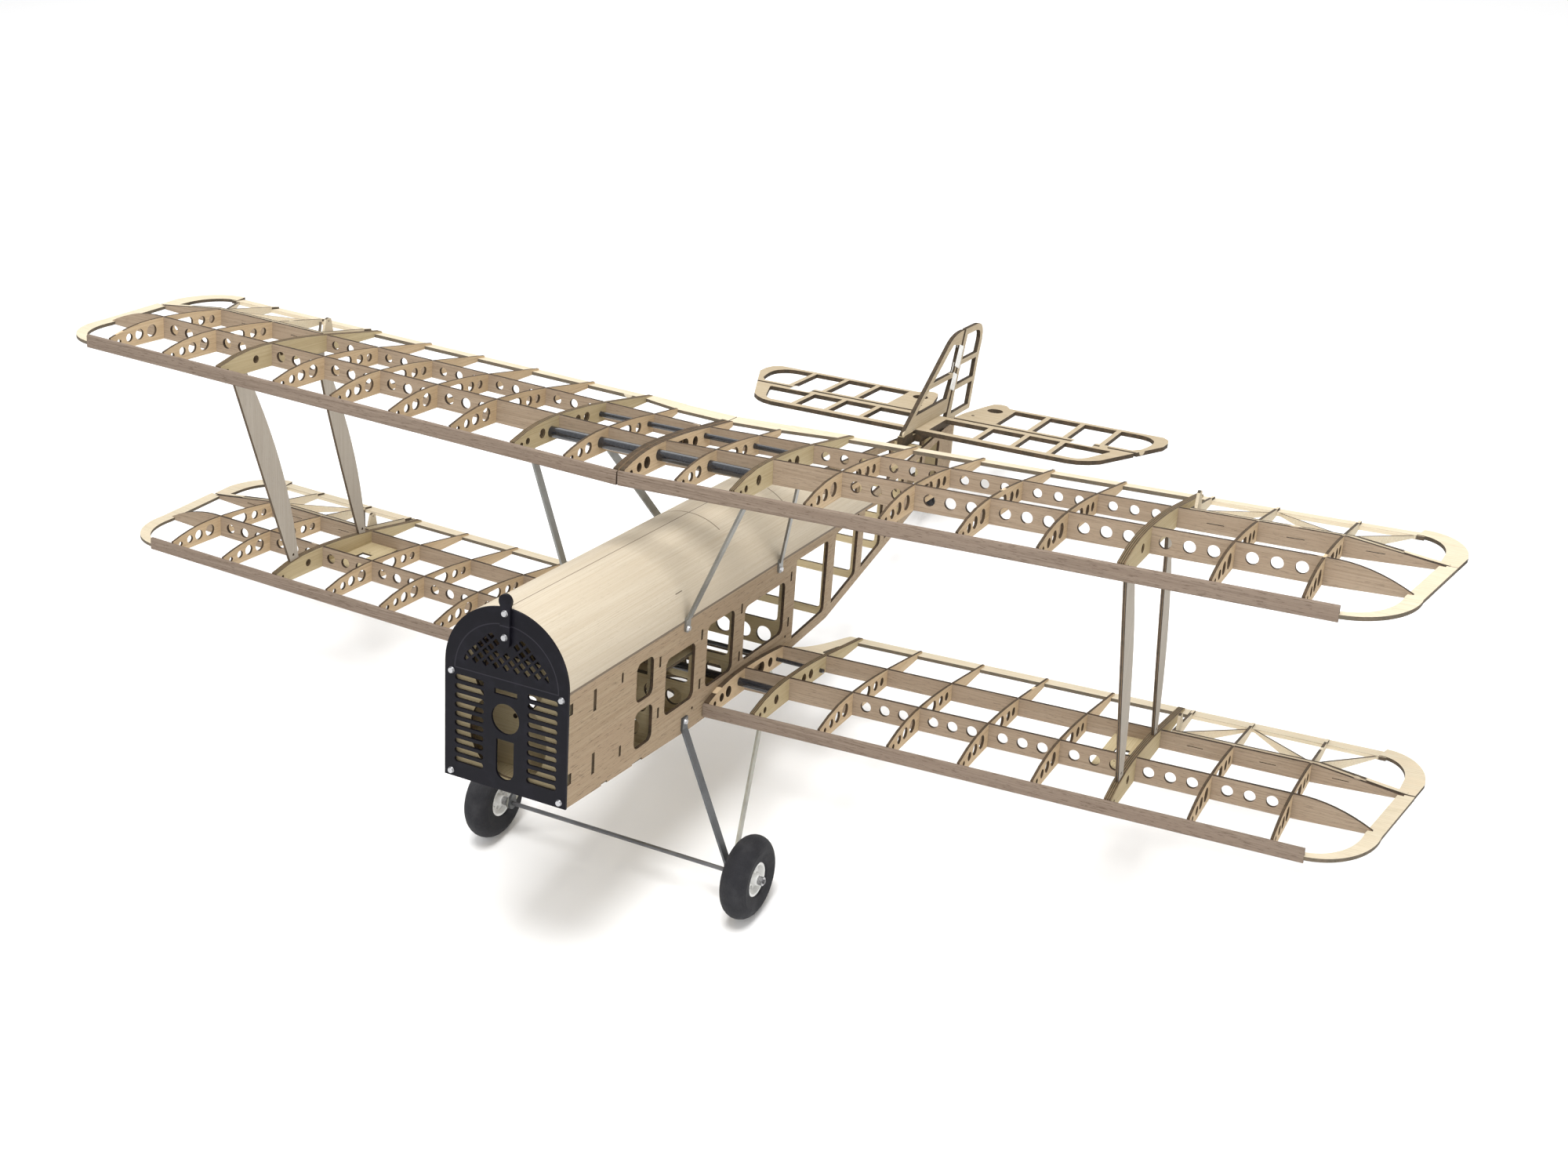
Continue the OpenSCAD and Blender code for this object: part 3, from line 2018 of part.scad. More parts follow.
front_plate();
front_strap();
front_plate_screws();
firewall();
nose_trays();
fuselage_formers();
tail_formers();
side_port();
side_starboard();
deck_port();
deck_starboard();
turtle_deck();
belly();
tail_saddle();
tail_bracket();
tail_wheel();
wing_tubes();
cabane_struts();
interplane_struts();
gear_legs_front();
gear_legs_rear();
axle();
axle_collars();
strut_screws();
tyre_port();
tyre_starboard();
hub_port();
hub_starboard();
upper_leading_edges();
upper_main_spars();
upper_rear_spars();
upper_ribs();
upper_ply_ribs();
upper_trailing_edges();
upper_tips();
lower_leading_edges();
lower_main_spars();
lower_rear_spars();
lower_ribs();
lower_ply_ribs();
lower_trailing_edges();
lower_tips();
servo_plates();
aileron_upper_port();
aileron_upper_starboard();
aileron_lower_port();
aileron_lower_starboard();
stabiliser();
elevator_port();
elevator_starboard();
fin();
rudder();
hinge_leaves();
aileron_leaves_upper_port();
aileron_leaves_upper_starboard();
aileron_leaves_lower_port();
aileron_leaves_lower_starboard();
elevator_leaves_port();
elevator_leaves_starboard();
rudder_leaves();
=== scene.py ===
import math

import bmesh
import bpy
from mathutils import Matrix, Vector


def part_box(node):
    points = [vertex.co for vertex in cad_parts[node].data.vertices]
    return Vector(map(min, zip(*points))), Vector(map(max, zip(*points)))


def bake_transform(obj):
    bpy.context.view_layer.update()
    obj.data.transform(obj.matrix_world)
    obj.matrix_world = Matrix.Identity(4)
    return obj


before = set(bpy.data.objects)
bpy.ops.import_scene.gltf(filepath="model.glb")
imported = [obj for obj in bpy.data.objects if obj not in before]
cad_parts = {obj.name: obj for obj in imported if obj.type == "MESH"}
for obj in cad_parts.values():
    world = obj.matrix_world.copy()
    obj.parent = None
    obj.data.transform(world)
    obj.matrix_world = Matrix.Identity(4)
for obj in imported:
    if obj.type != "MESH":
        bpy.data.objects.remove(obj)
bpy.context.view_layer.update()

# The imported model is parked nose-up; this turns row coordinates level with the fuselage.
PITCH = math.radians(12.0)
MM = 0.001
FORWARD = Vector((math.cos(PITCH), 0.0, math.sin(PITCH)))
UPWARD = Vector((-math.sin(PITCH), 0.0, math.cos(PITCH)))
PORT = Vector((0.0, 1.0, 0.0))

# Where the level airframe's datum lies in the row, found from the middle of the wheel axle.
axle_low, axle_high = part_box("axle")
AXLE = (Vector(axle_low) + Vector(axle_high)) / 2
AXLE_LEVEL = Vector((20.0, 0.0, -80.0)) * MM
LEVEL_TO_ROW = Matrix.Rotation(-PITCH, 4, "Y")
DATUM = AXLE - (LEVEL_TO_ROW @ AXLE_LEVEL)


def level(x, y, z):
    """A point of the level airframe, in millimetres, as a row point in metres."""
    return DATUM + LEVEL_TO_ROW @ (Vector((x, y, z)) * MM)


# ---------- camera ----------

def make_camera():
    """Camera that stands where the airframe is seen from its front port quarter."""
    data = bpy.data.cameras.new("camera")
    data.sensor_width = 36.0
    data.lens = 42.10
    data.clip_end = 20.0
    camera = bpy.data.objects.new("camera", data)
    bpy.context.collection.objects.link(camera)
    back = Vector((0.75517, 0.39231, 0.52517)).normalized()
    up = Vector((-0.47951, -0.21568, 0.85062))
    right = up.cross(back).normalized()
    up = back.cross(right)
    turn = Matrix((right, up, back)).transposed()
    camera.matrix_world = Matrix.Translation((1.44609, 0.7371, 1.09517)) @ turn.to_4x4()
    bpy.context.scene.camera = camera


make_camera()


# ---------- node helpers ----------

class Graph:
    """Small wrapper that adds and links shader nodes."""

    def __init__(self, name):
        self.material = bpy.data.materials.new(name)
        self.material.use_nodes = True
        self.tree = self.material.node_tree
        self.tree.nodes.clear()
        self.output = self.tree.nodes.new("ShaderNodeOutputMaterial")
        self.shader = self.tree.nodes.new("ShaderNodeBsdfPrincipled")
        self.tree.links.new(self.shader.outputs[0], self.output.inputs["Surface"])
        self.coords = self.tree.nodes.new("ShaderNodeTexCoord")

    def feed(self, socket, value):
        if isinstance(value, bpy.types.NodeSocket):
            self.tree.links.new(value, socket)
        elif value is not None:
            socket.default_value = value

    def math(self, operation, a, b=None, c=None, clamp=False):
        node = self.tree.nodes.new("ShaderNodeMath")
        node.operation = operation
        node.use_clamp = clamp
        for socket, value in zip(node.inputs, (a, b, c)):
            self.feed(socket, value)
        return node.outputs[0]

    def vector(self, operation, a, b=None):
        node = self.tree.nodes.new("ShaderNodeVectorMath")
        node.operation = operation
        self.feed(node.inputs[0], a)
        self.feed(node.inputs[1], b)
        return node.outputs["Value" if operation in ("DOT_PRODUCT", "LENGTH") else "Vector"]

    def parts(self, value):
        node = self.tree.nodes.new("ShaderNodeSeparateXYZ")
        self.feed(node.inputs[0], value)
        return node.outputs[0], node.outputs[1], node.outputs[2]

    def combine(self, x, y, z):
        node = self.tree.nodes.new("ShaderNodeCombineXYZ")
        for socket, value in zip(node.inputs, (x, y, z)):
            self.feed(socket, value)
        return node.outputs[0]

    def noise(self, place, scale=1.0, detail=3.0, rough=0.55, distortion=0.0):
        node = self.tree.nodes.new("ShaderNodeTexNoise")
        self.feed(node.inputs["Vector"], place)
        node.inputs["Scale"].default_value = scale
        node.inputs["Detail"].default_value = detail
        node.inputs["Roughness"].default_value = rough
        node.inputs["Distortion"].default_value = distortion
        return node.outputs["Fac"]

    def grained(self, xyz, axis, across, along):
        """A place scaled by one number across the grain and another along its axis."""
        return self.combine(*[
            self.math("MULTIPLY", xyz[i], along if i == axis else across) for i in range(3)
        ])

    def ramp(self, value, low, high, to_low=0.0, to_high=1.0):
        node = self.tree.nodes.new("ShaderNodeMapRange")
        node.interpolation_type = "SMOOTHSTEP"
        self.feed(node.inputs["Value"], value)
        for key, number in zip(
            ("From Min", "From Max", "To Min", "To Max"), (low, high, to_low, to_high)
        ):
            node.inputs[key].default_value = number
        return node.outputs["Result"]

    def mix(self, factor, a, b, blend="MIX"):
        node = self.tree.nodes.new("ShaderNodeMix")
        node.data_type = "RGBA"
        node.blend_type = blend
        self.feed(node.inputs["Factor"], factor)
        self.feed(node.inputs["A"], rgba(a))
        self.feed(node.inputs["B"], rgba(b))
        return node.outputs["Result"]

    def bump(self, height, strength, distance=0.0004):
        node = self.tree.nodes.new("ShaderNodeBump")
        node.inputs["Strength"].default_value = strength
        node.inputs["Distance"].default_value = distance
        self.feed(node.inputs["Height"], height)
        self.feed(self.shader.inputs["Normal"], node.outputs["Normal"])

    def set(self, **values):
        for key, value in values.items():
            self.feed(self.shader.inputs[key.replace("_", " ")], rgba(value))

    def level_frame(self):
        """Object coordinates and normal turned level with the fuselage."""
        place = self.combine(
            self.vector("DOT_PRODUCT", self.coords.outputs["Object"], FORWARD),
            self.vector("DOT_PRODUCT", self.coords.outputs["Object"], PORT),
            self.vector("DOT_PRODUCT", self.coords.outputs["Object"], UPWARD),
        )
        normal = self.combine(
            self.vector("DOT_PRODUCT", self.coords.outputs["Normal"], FORWARD),
            self.vector("DOT_PRODUCT", self.coords.outputs["Normal"], PORT),
            self.vector("DOT_PRODUCT", self.coords.outputs["Normal"], UPWARD),
        )
        return place, normal


def rgba(value):
    """A colour with its alpha added; anything else as it is."""
    if isinstance(value, (tuple, list)) and len(value) == 3:
        return (*value, 1.0)
    return value


AXES = {"x": 0, "y": 1, "z": 2}

# Where the level datum sits when seen along the level axes, in metres.
DATUM_LEVEL = (DATUM.dot(FORWARD), DATUM.dot(PORT), DATUM.dot(UPWARD))


def millimetres(g, place):
    """Level datum coordinates in millimetres as three sockets."""
    return [
        g.math("MULTIPLY", g.math("SUBTRACT", part, DATUM_LEVEL[i]), 1000.0)
        for i, part in enumerate(g.parts(place))
    ]


def band(g, value, low, high, soft=0.15):
    """One between two limits, zero outside, with a narrow soft rim."""
    return g.math(
        "MULTIPLY",
        g.ramp(value, low - soft, low + soft),
        g.ramp(value, high - soft, high + soft, 1.0, 0.0),
    )


# Noise scales: across the grain, along it, and for burnt edges and their pale bridges.
FINE_GRAIN = 900.0
DECK_GRAIN = 1200.0
PLY_GRAIN = 1300.0
STREAK_ALONG = 9.0
PATCHES = (70.0, 5.0)
PORES = (2600.0, 160.0)
FLECKS = (900.0, 95.0)
BRUSHED = (1500.0, 40.0)
BURN_PATCH = 140.0
BURN_GRIT = 620.0
BRIDGE_CELLS = 17.0
# How squarely a surface has to look along an axis to be a broad side of its sheet.
FACE_TURN = (0.72, 0.82)
# Strength of pores, and the colours of flecks, burnt edges, glue and cut lines.
PORE_STRENGTH = 0.45
FLECK = (0.10, 0.070, 0.050)
CHAR_BLACK = (0.0075, 0.0045, 0.0033)
CHAR_BROWN = (0.036, 0.020, 0.012)
CHAR_LIGHT = (0.088, 0.052, 0.029)
GLUE_LINE = (0.26, 0.175, 0.095)
SCORE_LINE = (0.085, 0.055, 0.035)


def wood(
    name, light, dark, grain, faces, warm, burn=0.9, streak=FINE_GRAIN,
    tabs=True, fleck=0.0, layers=None, clean=None, score=None, gloss=0.10,
):
    """Sheet wood: grain along one axis, scorched edges where the sheet is cut.

    faces names the axes that the sheet's broad sides look along; clean is used
    instead where the broad sides can't be told by an axis. burn is how dark the
    cut edges are, fleck how strong the short dark flecks are, layers the
    spacing of plywood layers in millimetres, and score draws cut lines.
    """
    g = Graph(name)
    place, normal = g.level_frame()
    xyz = g.parts(place)
    axis = AXES[grain]
    lines = g.grained(xyz, axis, streak, STREAK_ALONG)
    streaks = g.noise(lines, detail=4.0, rough=0.6, distortion=0.4)
    patches = g.noise(g.grained(xyz, axis, *PATCHES), detail=2.0)
    pore = g.ramp(g.noise(g.grained(xyz, axis, *PORES), detail=2.0), 0.62, 0.72)
    color = g.mix(g.ramp(streaks, 0.35, 0.7), light, dark)
    color = g.mix(g.ramp(patches, 0.35, 0.7, 0.0, 0.55), color, warm)
    color = g.mix(g.math("MULTIPLY", pore, PORE_STRENGTH), color, tuple(c * 0.62 for c in dark))
    if fleck:
        short = g.noise(g.grained(xyz, axis, *FLECKS), detail=3.0, rough=0.7)
        spots = g.ramp(short, 0.56, 0.64)
        color = g.mix(g.math("MULTIPLY", spots, fleck), color, FLECK)
    turned = g.parts(normal)
    datum = millimetres(g, place)
    face = None if clean is None else clean(g, datum, turned)
    for letter in "" if clean else faces:
        part = g.ramp(g.math("ABSOLUTE", turned[AXES[letter]]), *FACE_TURN)
        face = part if face is None else g.math("MAXIMUM", face, part)
    cut = g.math("SUBTRACT", 1.0, face)
    spread = g.noise(place, scale=BURN_PATCH, detail=2.0)
    charred = g.noise(place, scale=BURN_GRIT, detail=3.0)
    scorch = g.mix(g.ramp(spread, 0.38, 0.62), CHAR_BLACK, CHAR_BROWN)
    scorch = g.mix(g.ramp(charred, 0.55, 0.7, 0.0, 0.45), scorch, CHAR_LIGHT)
    if layers:
        stripes = g.math("FRACT", g.math("DIVIDE", datum[1], layers))
        glue = band(g, stripes, 0.36, 0.64, 0.08)
        scorch = g.mix(g.math("MULTIPLY", glue, 0.75), scorch, GLUE_LINE)
    if tabs:
        # Small pale bridges left where the sheet was broken out of its board.
        cells = g.tree.nodes.new("ShaderNodeTexVoronoi")
        cells.feature = "F1"
        cells.inputs["Scale"].default_value = BRIDGE_CELLS
        g.feed(cells.inputs["Vector"], place)
        scorch = g.mix(g.ramp(cells.outputs["Distance"], 0.085, 0.10, 1.0, 0.0), scorch, light)
    color = g.mix(g.math("MULTIPLY", cut, burn), color, scorch)
    height = g.math("ADD", streaks, g.math("MULTIPLY", pore, -0.5))
    if score is not None:
        line = score(g, datum, turned)
        color = g.mix(g.math("MULTIPLY", line, 0.8), color, SCORE_LINE)
        height = g.math("SUBTRACT", height, g.math("MULTIPLY", line, 2.0))
    g.set(
        Base_Color=color,
        Roughness=g.ramp(streaks, 0.3, 0.7, 0.60, 0.78),
        Specular_IOR_Level=gloss,
    )
    g.bump(height, 0.35, 0.0003)
    return g.material


# Limits of the marks below, in level datum millimetres.
TIP_BOW_Y = (604.0, 606.0)
BETWEEN_WINGS_Z = (175.0, 180.0)
UPPER_TRAILING_X = (-182.8, -182.2)
LOWER_TRAILING_X = (-248.6, -248.0)
SEAM_Y = (0.2, 0.6)
SEAM_Z = (150.0, 160.0)
FRONT_ARC_X = (-85.7, -84.4)
FRONT_ARC_Y = (31.5, 32.5)
REAR_ARC_X = (-203.7, -202.4)
REAR_ARC_Y = (20.0, 37.0)
TICK_X = (16.0, 27.0)
TICK_Z = (168.2, 169.0)
DECK_FOOT_Z = (143.3, 144.0)
PLATE_ARC_CENTRE_Z = 138.0
PLATE_ARC_RADIUS = (47.9, 48.9)
PLATE_ARC_Z = (139.4, 139.8)
PLATE_LINE_Y = (48.3, 48.7)
PLATE_LINE_Z = (139.2, 140.1)
PLATE_FACE_X = (198.0, 199.0)


def aileron_faces(g, datum, turned):
    """Upright sheets show their sides, and the bow and trailing edge their flat tops."""
    lean = g.math("ABSOLUTE", turned[2])
    upright = g.ramp(lean, 0.45, 0.65, 1.0, 0.0)
    flat = g.ramp(lean, 0.80, 0.90)
    beyond = g.ramp(g.math("ABSOLUTE", datum[1]), *TIP_BOW_Y)
    high = g.ramp(datum[2], *BETWEEN_WINGS_Z)
    upper = g.math("MULTIPLY", high, g.ramp(datum[0], *UPPER_TRAILING_X, 1.0, 0.0))
    lower = g.math(
        "MULTIPLY", g.math("SUBTRACT", 1.0, high), g.ramp(datum[0], *LOWER_TRAILING_X, 1.0, 0.0)
    )
    zone = g.math("MAXIMUM", beyond, g.math("ADD", upper, lower))
    return g.math(
        "ADD",
        g.math("MULTIPLY", upright, g.math("SUBTRACT", 1.0, zone)),
        g.math("MULTIPLY", flat, zone),
    )


def rolled_skin(g, datum, turned):
    """The whole curved skin of the deck counts as a face, whichever way it turns."""
    return g.ramp(g.math("ABSOLUTE", turned[0]), 0.62, 0.80, 1.0, 0.0)


def deck_score(g, datum, turned):
    """Score lines cut into the deck skin, and the dark joint along its foot."""
    across = g.math("ABSOLUTE", datum[1])
    seam = g.math("MULTIPLY", g.ramp(across, *SEAM_Y, 1.0, 0.0), g.ramp(datum[2], *SEAM_Z))
    front_arc = g.math(
        "MULTIPLY", band(g, datum[0], *FRONT_ARC_X), g.ramp(across, *FRONT_ARC_Y, 1.0, 0.0)
    )
    rear_arc = g.math(
        "MULTIPLY", band(g, datum[0], *REAR_ARC_X), band(g, across, *REAR_ARC_Y, 0.6)
    )
    tick = g.math("MULTIPLY", band(g, datum[0], *TICK_X, 0.5), band(g, datum[2], *TICK_Z))
    total = g.ramp(datum[2], *DECK_FOOT_Z, 1.0, 0.0)
    for mark in (seam, front_arc, rear_arc, tick):
        total = g.math("MAXIMUM", total, mark)
    return total


def black_sheet(name):
    """Black satin sheet with an arc and a line engraved around the mesh."""
    g = Graph(name)
    place, _ = g.level_frame()
    cloud = g.noise(place, scale=900.0, detail=3.0)
    wear = g.noise(place, scale=60.0, detail=4.0)
    datum = millimetres(g, place)
    above_centre = g.math("SUBTRACT", datum[2], PLATE_ARC_CENTRE_Z)
    radius = g.vector("LENGTH", g.combine(datum[1], above_centre, 0.0))
    arc = g.math("MULTIPLY", band(g, radius, *PLATE_ARC_RADIUS), g.ramp(datum[2], *PLATE_ARC_Z))
    inside = g.ramp(g.math("ABSOLUTE", datum[1]), *PLATE_LINE_Y, 1.0, 0.0)
    line = g.math("MULTIPLY", band(g, datum[2], *PLATE_LINE_Z), inside)
    groove = g.math("MULTIPLY", g.math("MAXIMUM", arc, line), g.ramp(datum[0], *PLATE_FACE_X))
    g.set(
        Base_Color=g.mix(
            g.math("MULTIPLY", groove, 0.6),
            g.mix(g.ramp(wear, 0.45, 0.75), (0.0045, 0.0042, 0.0070), (0.0090, 0.0085, 0.0130)),
            (0.030, 0.028, 0.036),
        ),
        Roughness=g.ramp(wear, 0.3, 0.7, 0.34, 0.5),
        Specular_IOR_Level=0.13,
    )
    g.bump(g.math("SUBTRACT", g.math("MULTIPLY", cloud, 0.3), groove), 0.4, 0.0003)
    return g.material


def metal(name, color, rough, brushed="z"):
    """Brushed and slightly stained metal."""
    g = Graph(name)
    place, _ = g.level_frame()
    xyz = g.parts(place)
    brush = g.noise(g.grained(xyz, AXES[brushed], *BRUSHED), detail=3.0)
    stain = g.noise(place, scale=45.0, detail=4.0)
    g.set(
        Base_Color=g.mix(g.ramp(stain, 0.4, 0.75), color, tuple(c * 0.72 for c in color)),
        Metallic=0.85,
        Roughness=g.ramp(brush, 0.3, 0.7, rough - 0.07, rough + 0.1),
    )
    g.bump(brush, 0.15, 0.0001)
    return g.material


def tube_material(name):
    """Polished black tube."""
    g = Graph(name)
    place, _ = g.level_frame()
    weave = g.noise(place, scale=700.0, detail=2.0)
    g.set(
        Base_Color=g.mix(g.ramp(weave, 0.4, 0.7), (0.010, 0.011, 0.014), (0.022, 0.024, 0.030)),
        Roughness=g.ramp(weave, 0.3, 0.7, 0.16, 0.26),
        Coat_Weight=0.6,
        Coat_Roughness=0.12,
    )
    g.bump(weave, 0.05, 0.0001)
    return g.material


def foam_tyre(name):
    """Dusty black foam with fine cells."""
    g = Graph(name)
    place, _ = g.level_frame()
    cells = g.noise(place, scale=1500.0, detail=4.0, rough=0.7)
    dust = g.noise(place, scale=55.0, detail=4.0)
    g.set(
        Base_Color=g.mix(g.ramp(dust, 0.4, 0.75), (0.013, 0.013, 0.016), (0.028, 0.028, 0.031)),
        Roughness=g.ramp(cells, 0.3, 0.7, 0.72, 0.92),
        Specular_IOR_Level=0.35,
    )
    g.bump(cells, 0.45, 0.0004)
    return g.material


def plastic(name, color, rough):
    """Moulded plastic with a fine texture and a little grime."""
    g = Graph(name)
    place, _ = g.level_frame()
    grime = g.noise(place, scale=90.0, detail=4.0)
    texture = g.noise(place, scale=1300.0, detail=2.0)
    g.set(
        Base_Color=g.mix(g.ramp(grime, 0.45, 0.8), color, tuple(c * 0.8 for c in color)),
        Roughness=g.ramp(texture, 0.3, 0.7, rough - 0.06, rough + 0.08),
        Specular_IOR_Level=0.45,
    )
    g.bump(texture, 0.08, 0.0001)
    return g.material


# ---------- materials of the CAD nodes ----------

# Light and dark colour of each kind of wood (the strut's partly painted shade), and the spacing
# of plywood layers in millimetres.
RIB_LAYERS = 1.67
STRUT_LAYERS = 1.6
RIB = ((0.60, 0.46, 0.295), (0.48, 0.35, 0.215))
SPAR = ((0.345, 0.270, 0.195), (0.262, 0.197, 0.137))
EDGE = ((0.240, 0.188, 0.146), (0.172, 0.130, 0.100))
SIDE = ((0.375, 0.29, 0.193), (0.295, 0.215, 0.138))
CREAM = ((0.66, 0.585, 0.445), (0.56, 0.475, 0.335))
PLY = ((0.52, 0.435, 0.272), (0.42, 0.335, 0.195))
# The strut colours are the ply greyed and darkened past its own colour: painted shade of the
# struts' shaded sides.
STRUT_WITH_PAINTED_SHADE = ((0.455, 0.415, 0.36), (0.385, 0.345, 0.29))
DECK = ((0.545, 0.48, 0.375), (0.475, 0.402, 0.298))
PALE_WARM = (0.66, 0.565, 0.42)
TAIL = ((0.515, 0.43, 0.30), (0.43, 0.345, 0.23))
TAIL_WARM = (0.46, 0.365, 0.245)

spar_wood = wood("balsa_spar", *SPAR, "y", "x", warm=(0.30, 0.225, 0.158), fleck=0.3)
edge_strip = wood(
    "balsa_leading_edge", *EDGE, "y", "xz", warm=(0.22, 0.165, 0.125), fleck=0.65, burn=0.5
)
rib_wood = wood("balsa_rib", *RIB, "x", "y", warm=(0.52, 0.385, 0.24), fleck=0.12)
ply_rib = wood(
    "ply_rib", *PLY, "x", "y", warm=PLY[1], streak=PLY_GRAIN, layers=RIB_LAYERS, tabs=False
)
edge_wood = wood("balsa_edge", *CREAM, "y", "z", warm=PALE_WARM, burn=0.81)
side_wood = wood("balsa_side", *SIDE, "x", "y", warm=(0.335, 0.245, 0.162), fleck=0.45)
deck_wood = wood(
    "deck_sheet", *DECK, "x", "yz", warm=DECK[1], streak=DECK_GRAIN, burn=0.8, tabs=False,
    clean=rolled_skin, score=deck_score, gloss=0.30,
)
cross_ply = wood("ply_former", *PLY, "y", "x", warm=PLY[1], streak=PLY_GRAIN)
flat_ply = wood("ply_flat", *PLY, "x", "z", warm=PLY[1], streak=PLY_GRAIN)
# Strut ply: real grain and layers, in a colour that carries painted shade.
strut_ply = wood(
    "ply_strut_painted_shade", *STRUT_WITH_PAINTED_SHADE, "z", "y", warm=STRUT_WITH_PAINTED_SHADE[1], streak=PLY_GRAIN, layers=STRUT_LAYERS,
    tabs=False,
)
tail_wood = wood("balsa_tail", *TAIL, "y", "z", warm=TAIL_WARM, fleck=0.12)
fin_wood = wood("balsa_fin", *TAIL, "x", "y", warm=TAIL_WARM, fleck=0.12)
aileron_wood = wood(
    "balsa_aileron", *CREAM, "y", "xy", warm=(0.66, 0.545, 0.39), clean=aileron_faces
)
black = black_sheet("black_sheet")
alloy = metal("strip_alloy", (0.30, 0.30, 0.285), 0.40)
olive_alloy = metal("strip_alloy_rear", (0.40, 0.395, 0.345), 0.42)
dark_alloy = metal("strip_alloy_front", (0.135, 0.14, 0.145), 0.42)
steel = metal("screw_steel", (0.50, 0.50, 0.51), 0.3)
axle_metal = metal("axle_steel", (0.16, 0.16, 0.165), 0.38, "y")
tubes = tube_material("black_tube")
tyre = foam_tyre("foam_tyre")
hub = plastic("white_hub", (0.80, 0.80, 0.78), 0.42)
nylon = plastic("hinge_nylon", (0.78, 0.77, 0.72), 0.45)

LOOKS = {
    "front_plate": black, "front_strap": black, "front_plate_screws": steel,
    "firewall": cross_ply, "nose_trays": flat_ply, "fuselage_formers": cross_ply,
    "tail_formers": cross_ply, "side_port": side_wood, "side_starboard": side_wood,
    "deck_port": deck_wood, "deck_starboard": deck_wood, "turtle_deck": deck_wood,
    "belly": flat_ply, "tail_saddle": flat_ply, "tail_bracket": alloy, "tail_wheel": tyre,
    "wing_tubes": tubes, "cabane_struts": alloy, "interplane_struts": strut_ply,
    "gear_legs_front": dark_alloy, "gear_legs_rear": olive_alloy, "axle": axle_metal,
    "axle_collars": steel, "strut_screws": steel, "tyre_port": tyre, "tyre_starboard": tyre,
    "hub_port": hub, "hub_starboard": hub, "servo_plates": flat_ply,
    "stabiliser": tail_wood, "elevator_port": tail_wood, "elevator_starboard": tail_wood,
    "fin": fin_wood, "rudder": fin_wood,
}
for wing in ("upper", "lower"):
    LOOKS.update({
        wing + "_leading_edges": edge_strip, wing + "_main_spars": spar_wood,
        wing + "_rear_spars": spar_wood, wing + "_ribs": rib_wood,
        wing + "_ply_ribs": ply_rib, wing + "_trailing_edges": edge_wood,
        wing + "_tips": edge_wood, "aileron_" + wing + "_port": aileron_wood,
        "aileron_" + wing + "_starboard": aileron_wood,
    })

for name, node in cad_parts.items():
    material = LOOKS.get(name, nylon)
    node.data.materials.clear()
    node.data.materials.append(material)


# ---------- clear tape over the hinge lines ----------

def tape_material():
    """Thin cloudy tape, clearer in patches, with fine wrinkles."""
    g = Graph("clear_tape")
    place, _ = g.level_frame()
    cloud = g.noise(place, scale=70.0, detail=2.0)
    wrinkle = g.noise(place, scale=700.0, detail=3.0)
    g.set(
        Base_Color=g.mix(g.ramp(cloud, 0.4, 0.7), (0.88, 0.88, 0.85), (0.80, 0.79, 0.75)),
        Roughness=g.ramp(wrinkle, 0.3, 0.7, 0.18, 0.36),
        Specular_IOR_Level=0.5,
        Alpha=g.ramp(cloud, 0.3, 0.75, 0.96, 0.84),
    )
    g.bump(wrinkle, 0.25, 0.0002)
    return g.material


tape = tape_material()

# In millimetres: thickness, how far out of square, wrinkles, and the rise over the gap and its
# width.
TAPE_THICK = 0.12
LONG_SKEW = 0.9
WIDE_SKEW = 0.7
WRINKLE = 0.03
RISE = 0.22
RISE_WIDTH = 2.2
# Faces of a strip along the hinge line and across it.
COLUMNS = 14
ROWS = 10


def tape_strip(name, middle, along, across, up, length, width, seed):
    """A cut strip of tape laid over a hinge line.

    The strip runs `length` along the hinge line and `width` across it. Its ends
    and sides are slightly out of square, and it stands a little proud in the
    middle, where it bridges the gap.
    """
    mesh = bpy.data.meshes.new(name)
    bm = bmesh.new()
    grid = []
    for side in (0, 1):
        layer = []
        for i in range(COLUMNS + 1):
            line = []
            for j in range(ROWS + 1):
                long_here = length + LONG_SKEW * math.sin(seed + 2.1 * j / ROWS)
                wide_here = width + WIDE_SKEW * math.sin(seed * 1.7 + 2.6 * i / COLUMNS)
                a = (i / COLUMNS - 0.5) * long_here
                c = (j / ROWS - 0.5) * wide_here
                wave = WRINKLE * math.sin(seed + i * 0.9 + j * 1.3)
                swell = RISE * math.exp(-((c / RISE_WIDTH) ** 2)) + wave
                point = middle + along * a + across * c + up * (swell + side * TAPE_THICK)
                line.append(bm.verts.new(level(*point)))
            layer.append(line)
        grid.append(layer)
    low, high = grid
    for i in range(COLUMNS):
        for j in range(ROWS):
            bm.faces.new((high[i][j], high[i + 1][j], high[i + 1][j + 1], high[i][j + 1]))
            bm.faces.new((low[i][j], low[i][j + 1], low[i + 1][j + 1], low[i + 1][j]))
    for i in range(COLUMNS):
        for j in (0, ROWS):
            bm.faces.new((low[i][j], low[i + 1][j], high[i + 1][j], high[i][j]))
    for j in range(ROWS):
        for i in (0, COLUMNS):
            bm.faces.new((low[i][j], high[i][j], high[i][j + 1], low[i][j + 1]))
    bmesh.ops.recalc_face_normals(bm, faces=bm.faces)
    for face in bm.faces:
        face.smooth = True
    bm.to_mesh(mesh)
    bm.free()
    mesh.materials.append(tape)
    piece = bpy.data.objects.new(name, mesh)
    bpy.context.collection.objects.link(piece)
    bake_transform(piece)


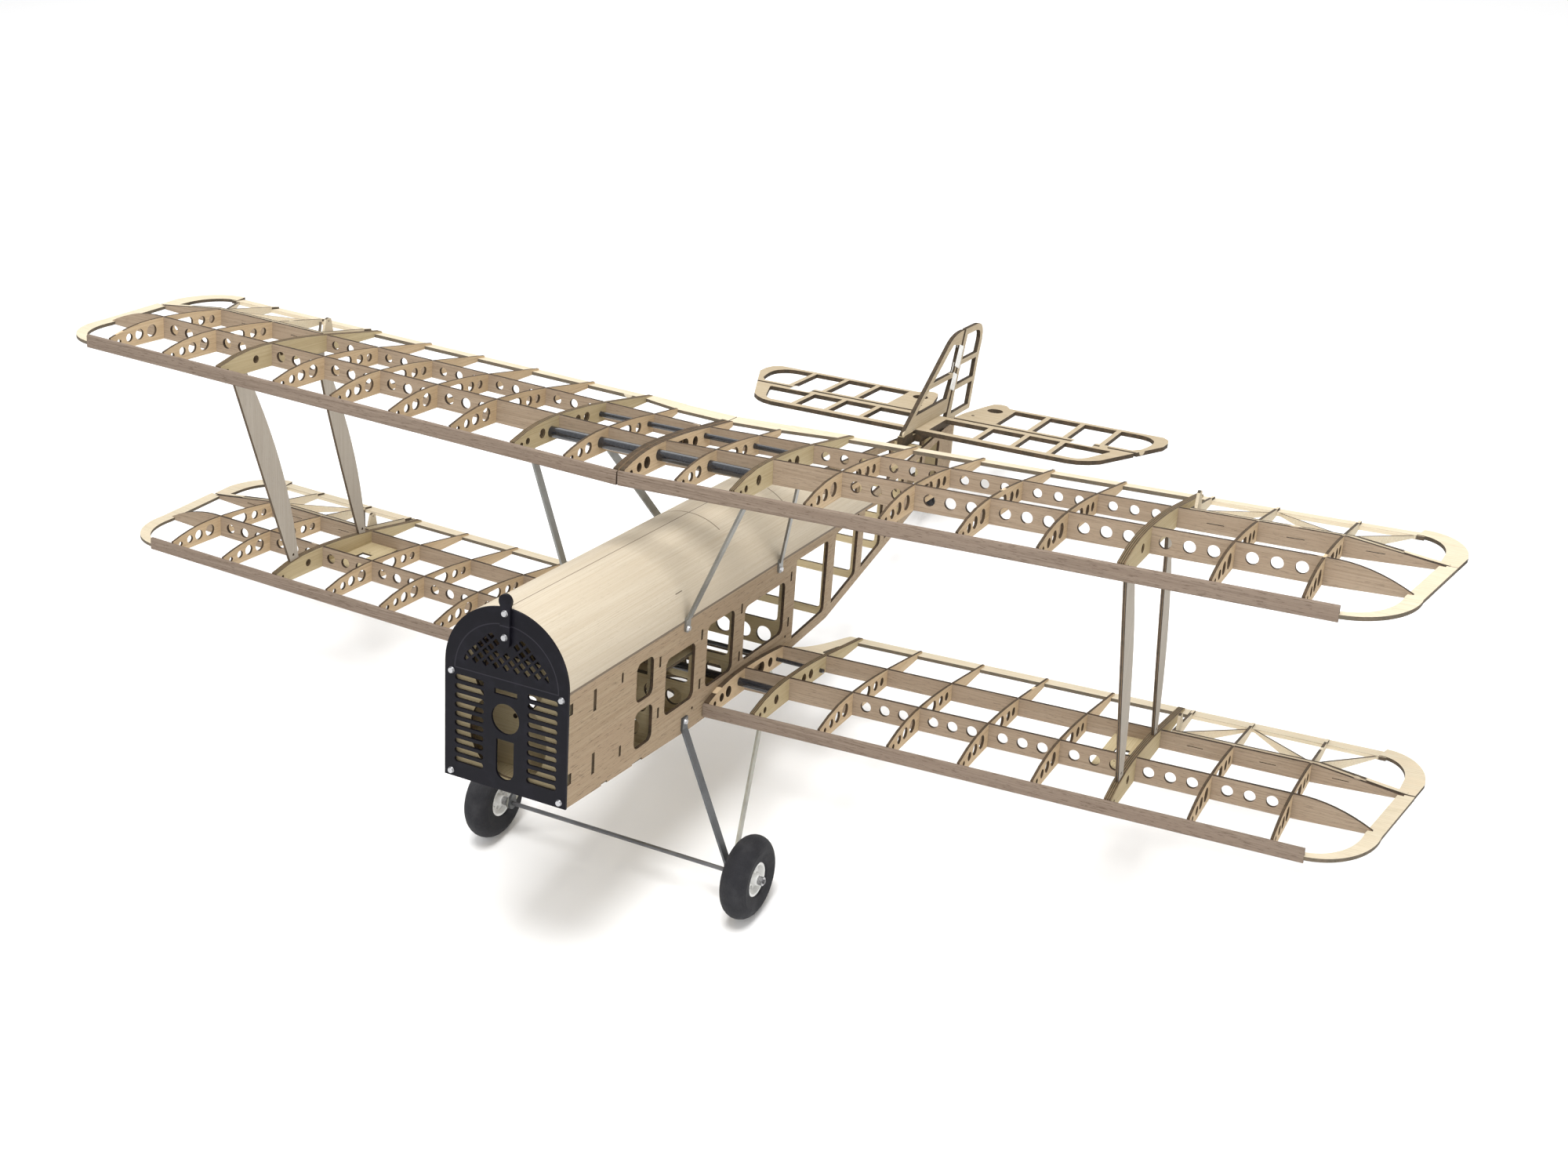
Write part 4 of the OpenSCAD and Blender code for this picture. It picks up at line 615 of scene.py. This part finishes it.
# Directions and places on the tail, in level datum millimetres.
AFT = Vector((-1.0, 0.0, 0.0))
ACROSS_PORT = Vector((0.0, 1.0, 0.0))
STRAIGHT_UP = Vector((0.0, 0.0, 1.0))
STAB_TOP = 155.5
ELEVATOR_HINGE_X = -700.0
TAPE_SPAN = 180.0
TAPE_LIFT = 0.04
FIN_FOOT = Vector((-722.0, 0.0, STAB_TOP))
FIN_HEAD = Vector((-757.0, 0.0, 249.6))
FIN_SIDE = 2.5

for side, number in (("port", 1), ("starboard", -1)):
    tape_strip(
        "tape_elevator_" + side,
        Vector((ELEVATOR_HINGE_X, number * TAPE_SPAN, STAB_TOP + TAPE_LIFT)),
        ACROSS_PORT, AFT, STRAIGHT_UP, 26.0, 17.0, 1.3 + number,
    )

RAKE = (FIN_HEAD - FIN_FOOT).normalized()
RUDDER_AFT = RAKE.cross(ACROSS_PORT).normalized()
if RUDDER_AFT.x > 0:
    RUDDER_AFT.negate()
for label, height, size in (("high", 219.0, 27.0), ("low", 190.0, 20.0)):
    share = (height - FIN_FOOT.z) / (FIN_HEAD.z - FIN_FOOT.z)
    spot = FIN_FOOT.lerp(FIN_HEAD, share) + ACROSS_PORT * (FIN_SIDE + TAPE_LIFT)
    tape_strip(
        "tape_rudder_" + label, spot, RAKE, RUDDER_AFT, ACROSS_PORT,
        size, 16.0, height,
    )


# ---------- floor and light ----------

def make_floor():
    """Plain white floor that fills the view of the camera above."""
    mesh = bpy.data.meshes.new("floor")
    size = 6.0
    mesh.from_pydata(
        [(-size, -size, 0), (size, -size, 0), (size, size, 0), (-size, size, 0)],
        [], [(0, 1, 2, 3)],
    )
    floor = bpy.data.objects.new("floor", mesh)
    bpy.context.collection.objects.link(floor)
    g = Graph("floor")
    g.set(Base_Color=(0.97, 0.97, 0.97), Roughness=0.9, Specular_IOR_Level=0.1)
    mesh.materials.append(g.material)


def area_light(name, place, target, size, power):
    """Round soft light that faces its target."""
    data = bpy.data.lights.new(name, "AREA")
    data.shape = "DISK"
    data.size = size
    data.energy = power
    light = bpy.data.objects.new(name, data)
    bpy.context.collection.objects.link(light)
    aim = Vector(target) - Vector(place)
    light.matrix_world = (
        Matrix.Translation(place) @ aim.to_track_quat("-Z", "Y").to_matrix().to_4x4()
    )


make_floor()
area_light("key", (0.9, 0.35, 3.2), (0, 0, 0.25), 1.5, 92.0)
area_light("fill", (2.8, 1.2, 1.6), (0, 0, 0.2), 2.4, 16.0)
area_light("rim", (-1.6, -1.8, 2.4), (-0.1, 0, 0.2), 2.4, 22.0)
world = bpy.data.worlds.new("studio")
bpy.context.scene.world = world
world.use_nodes = True
sky = world.node_tree.nodes["Background"]
sky.inputs["Color"].default_value = (1.0, 1.0, 1.0, 1.0)
sky.inputs["Strength"].default_value = 0.75
bpy.context.scene.view_settings.view_transform = "Standard"
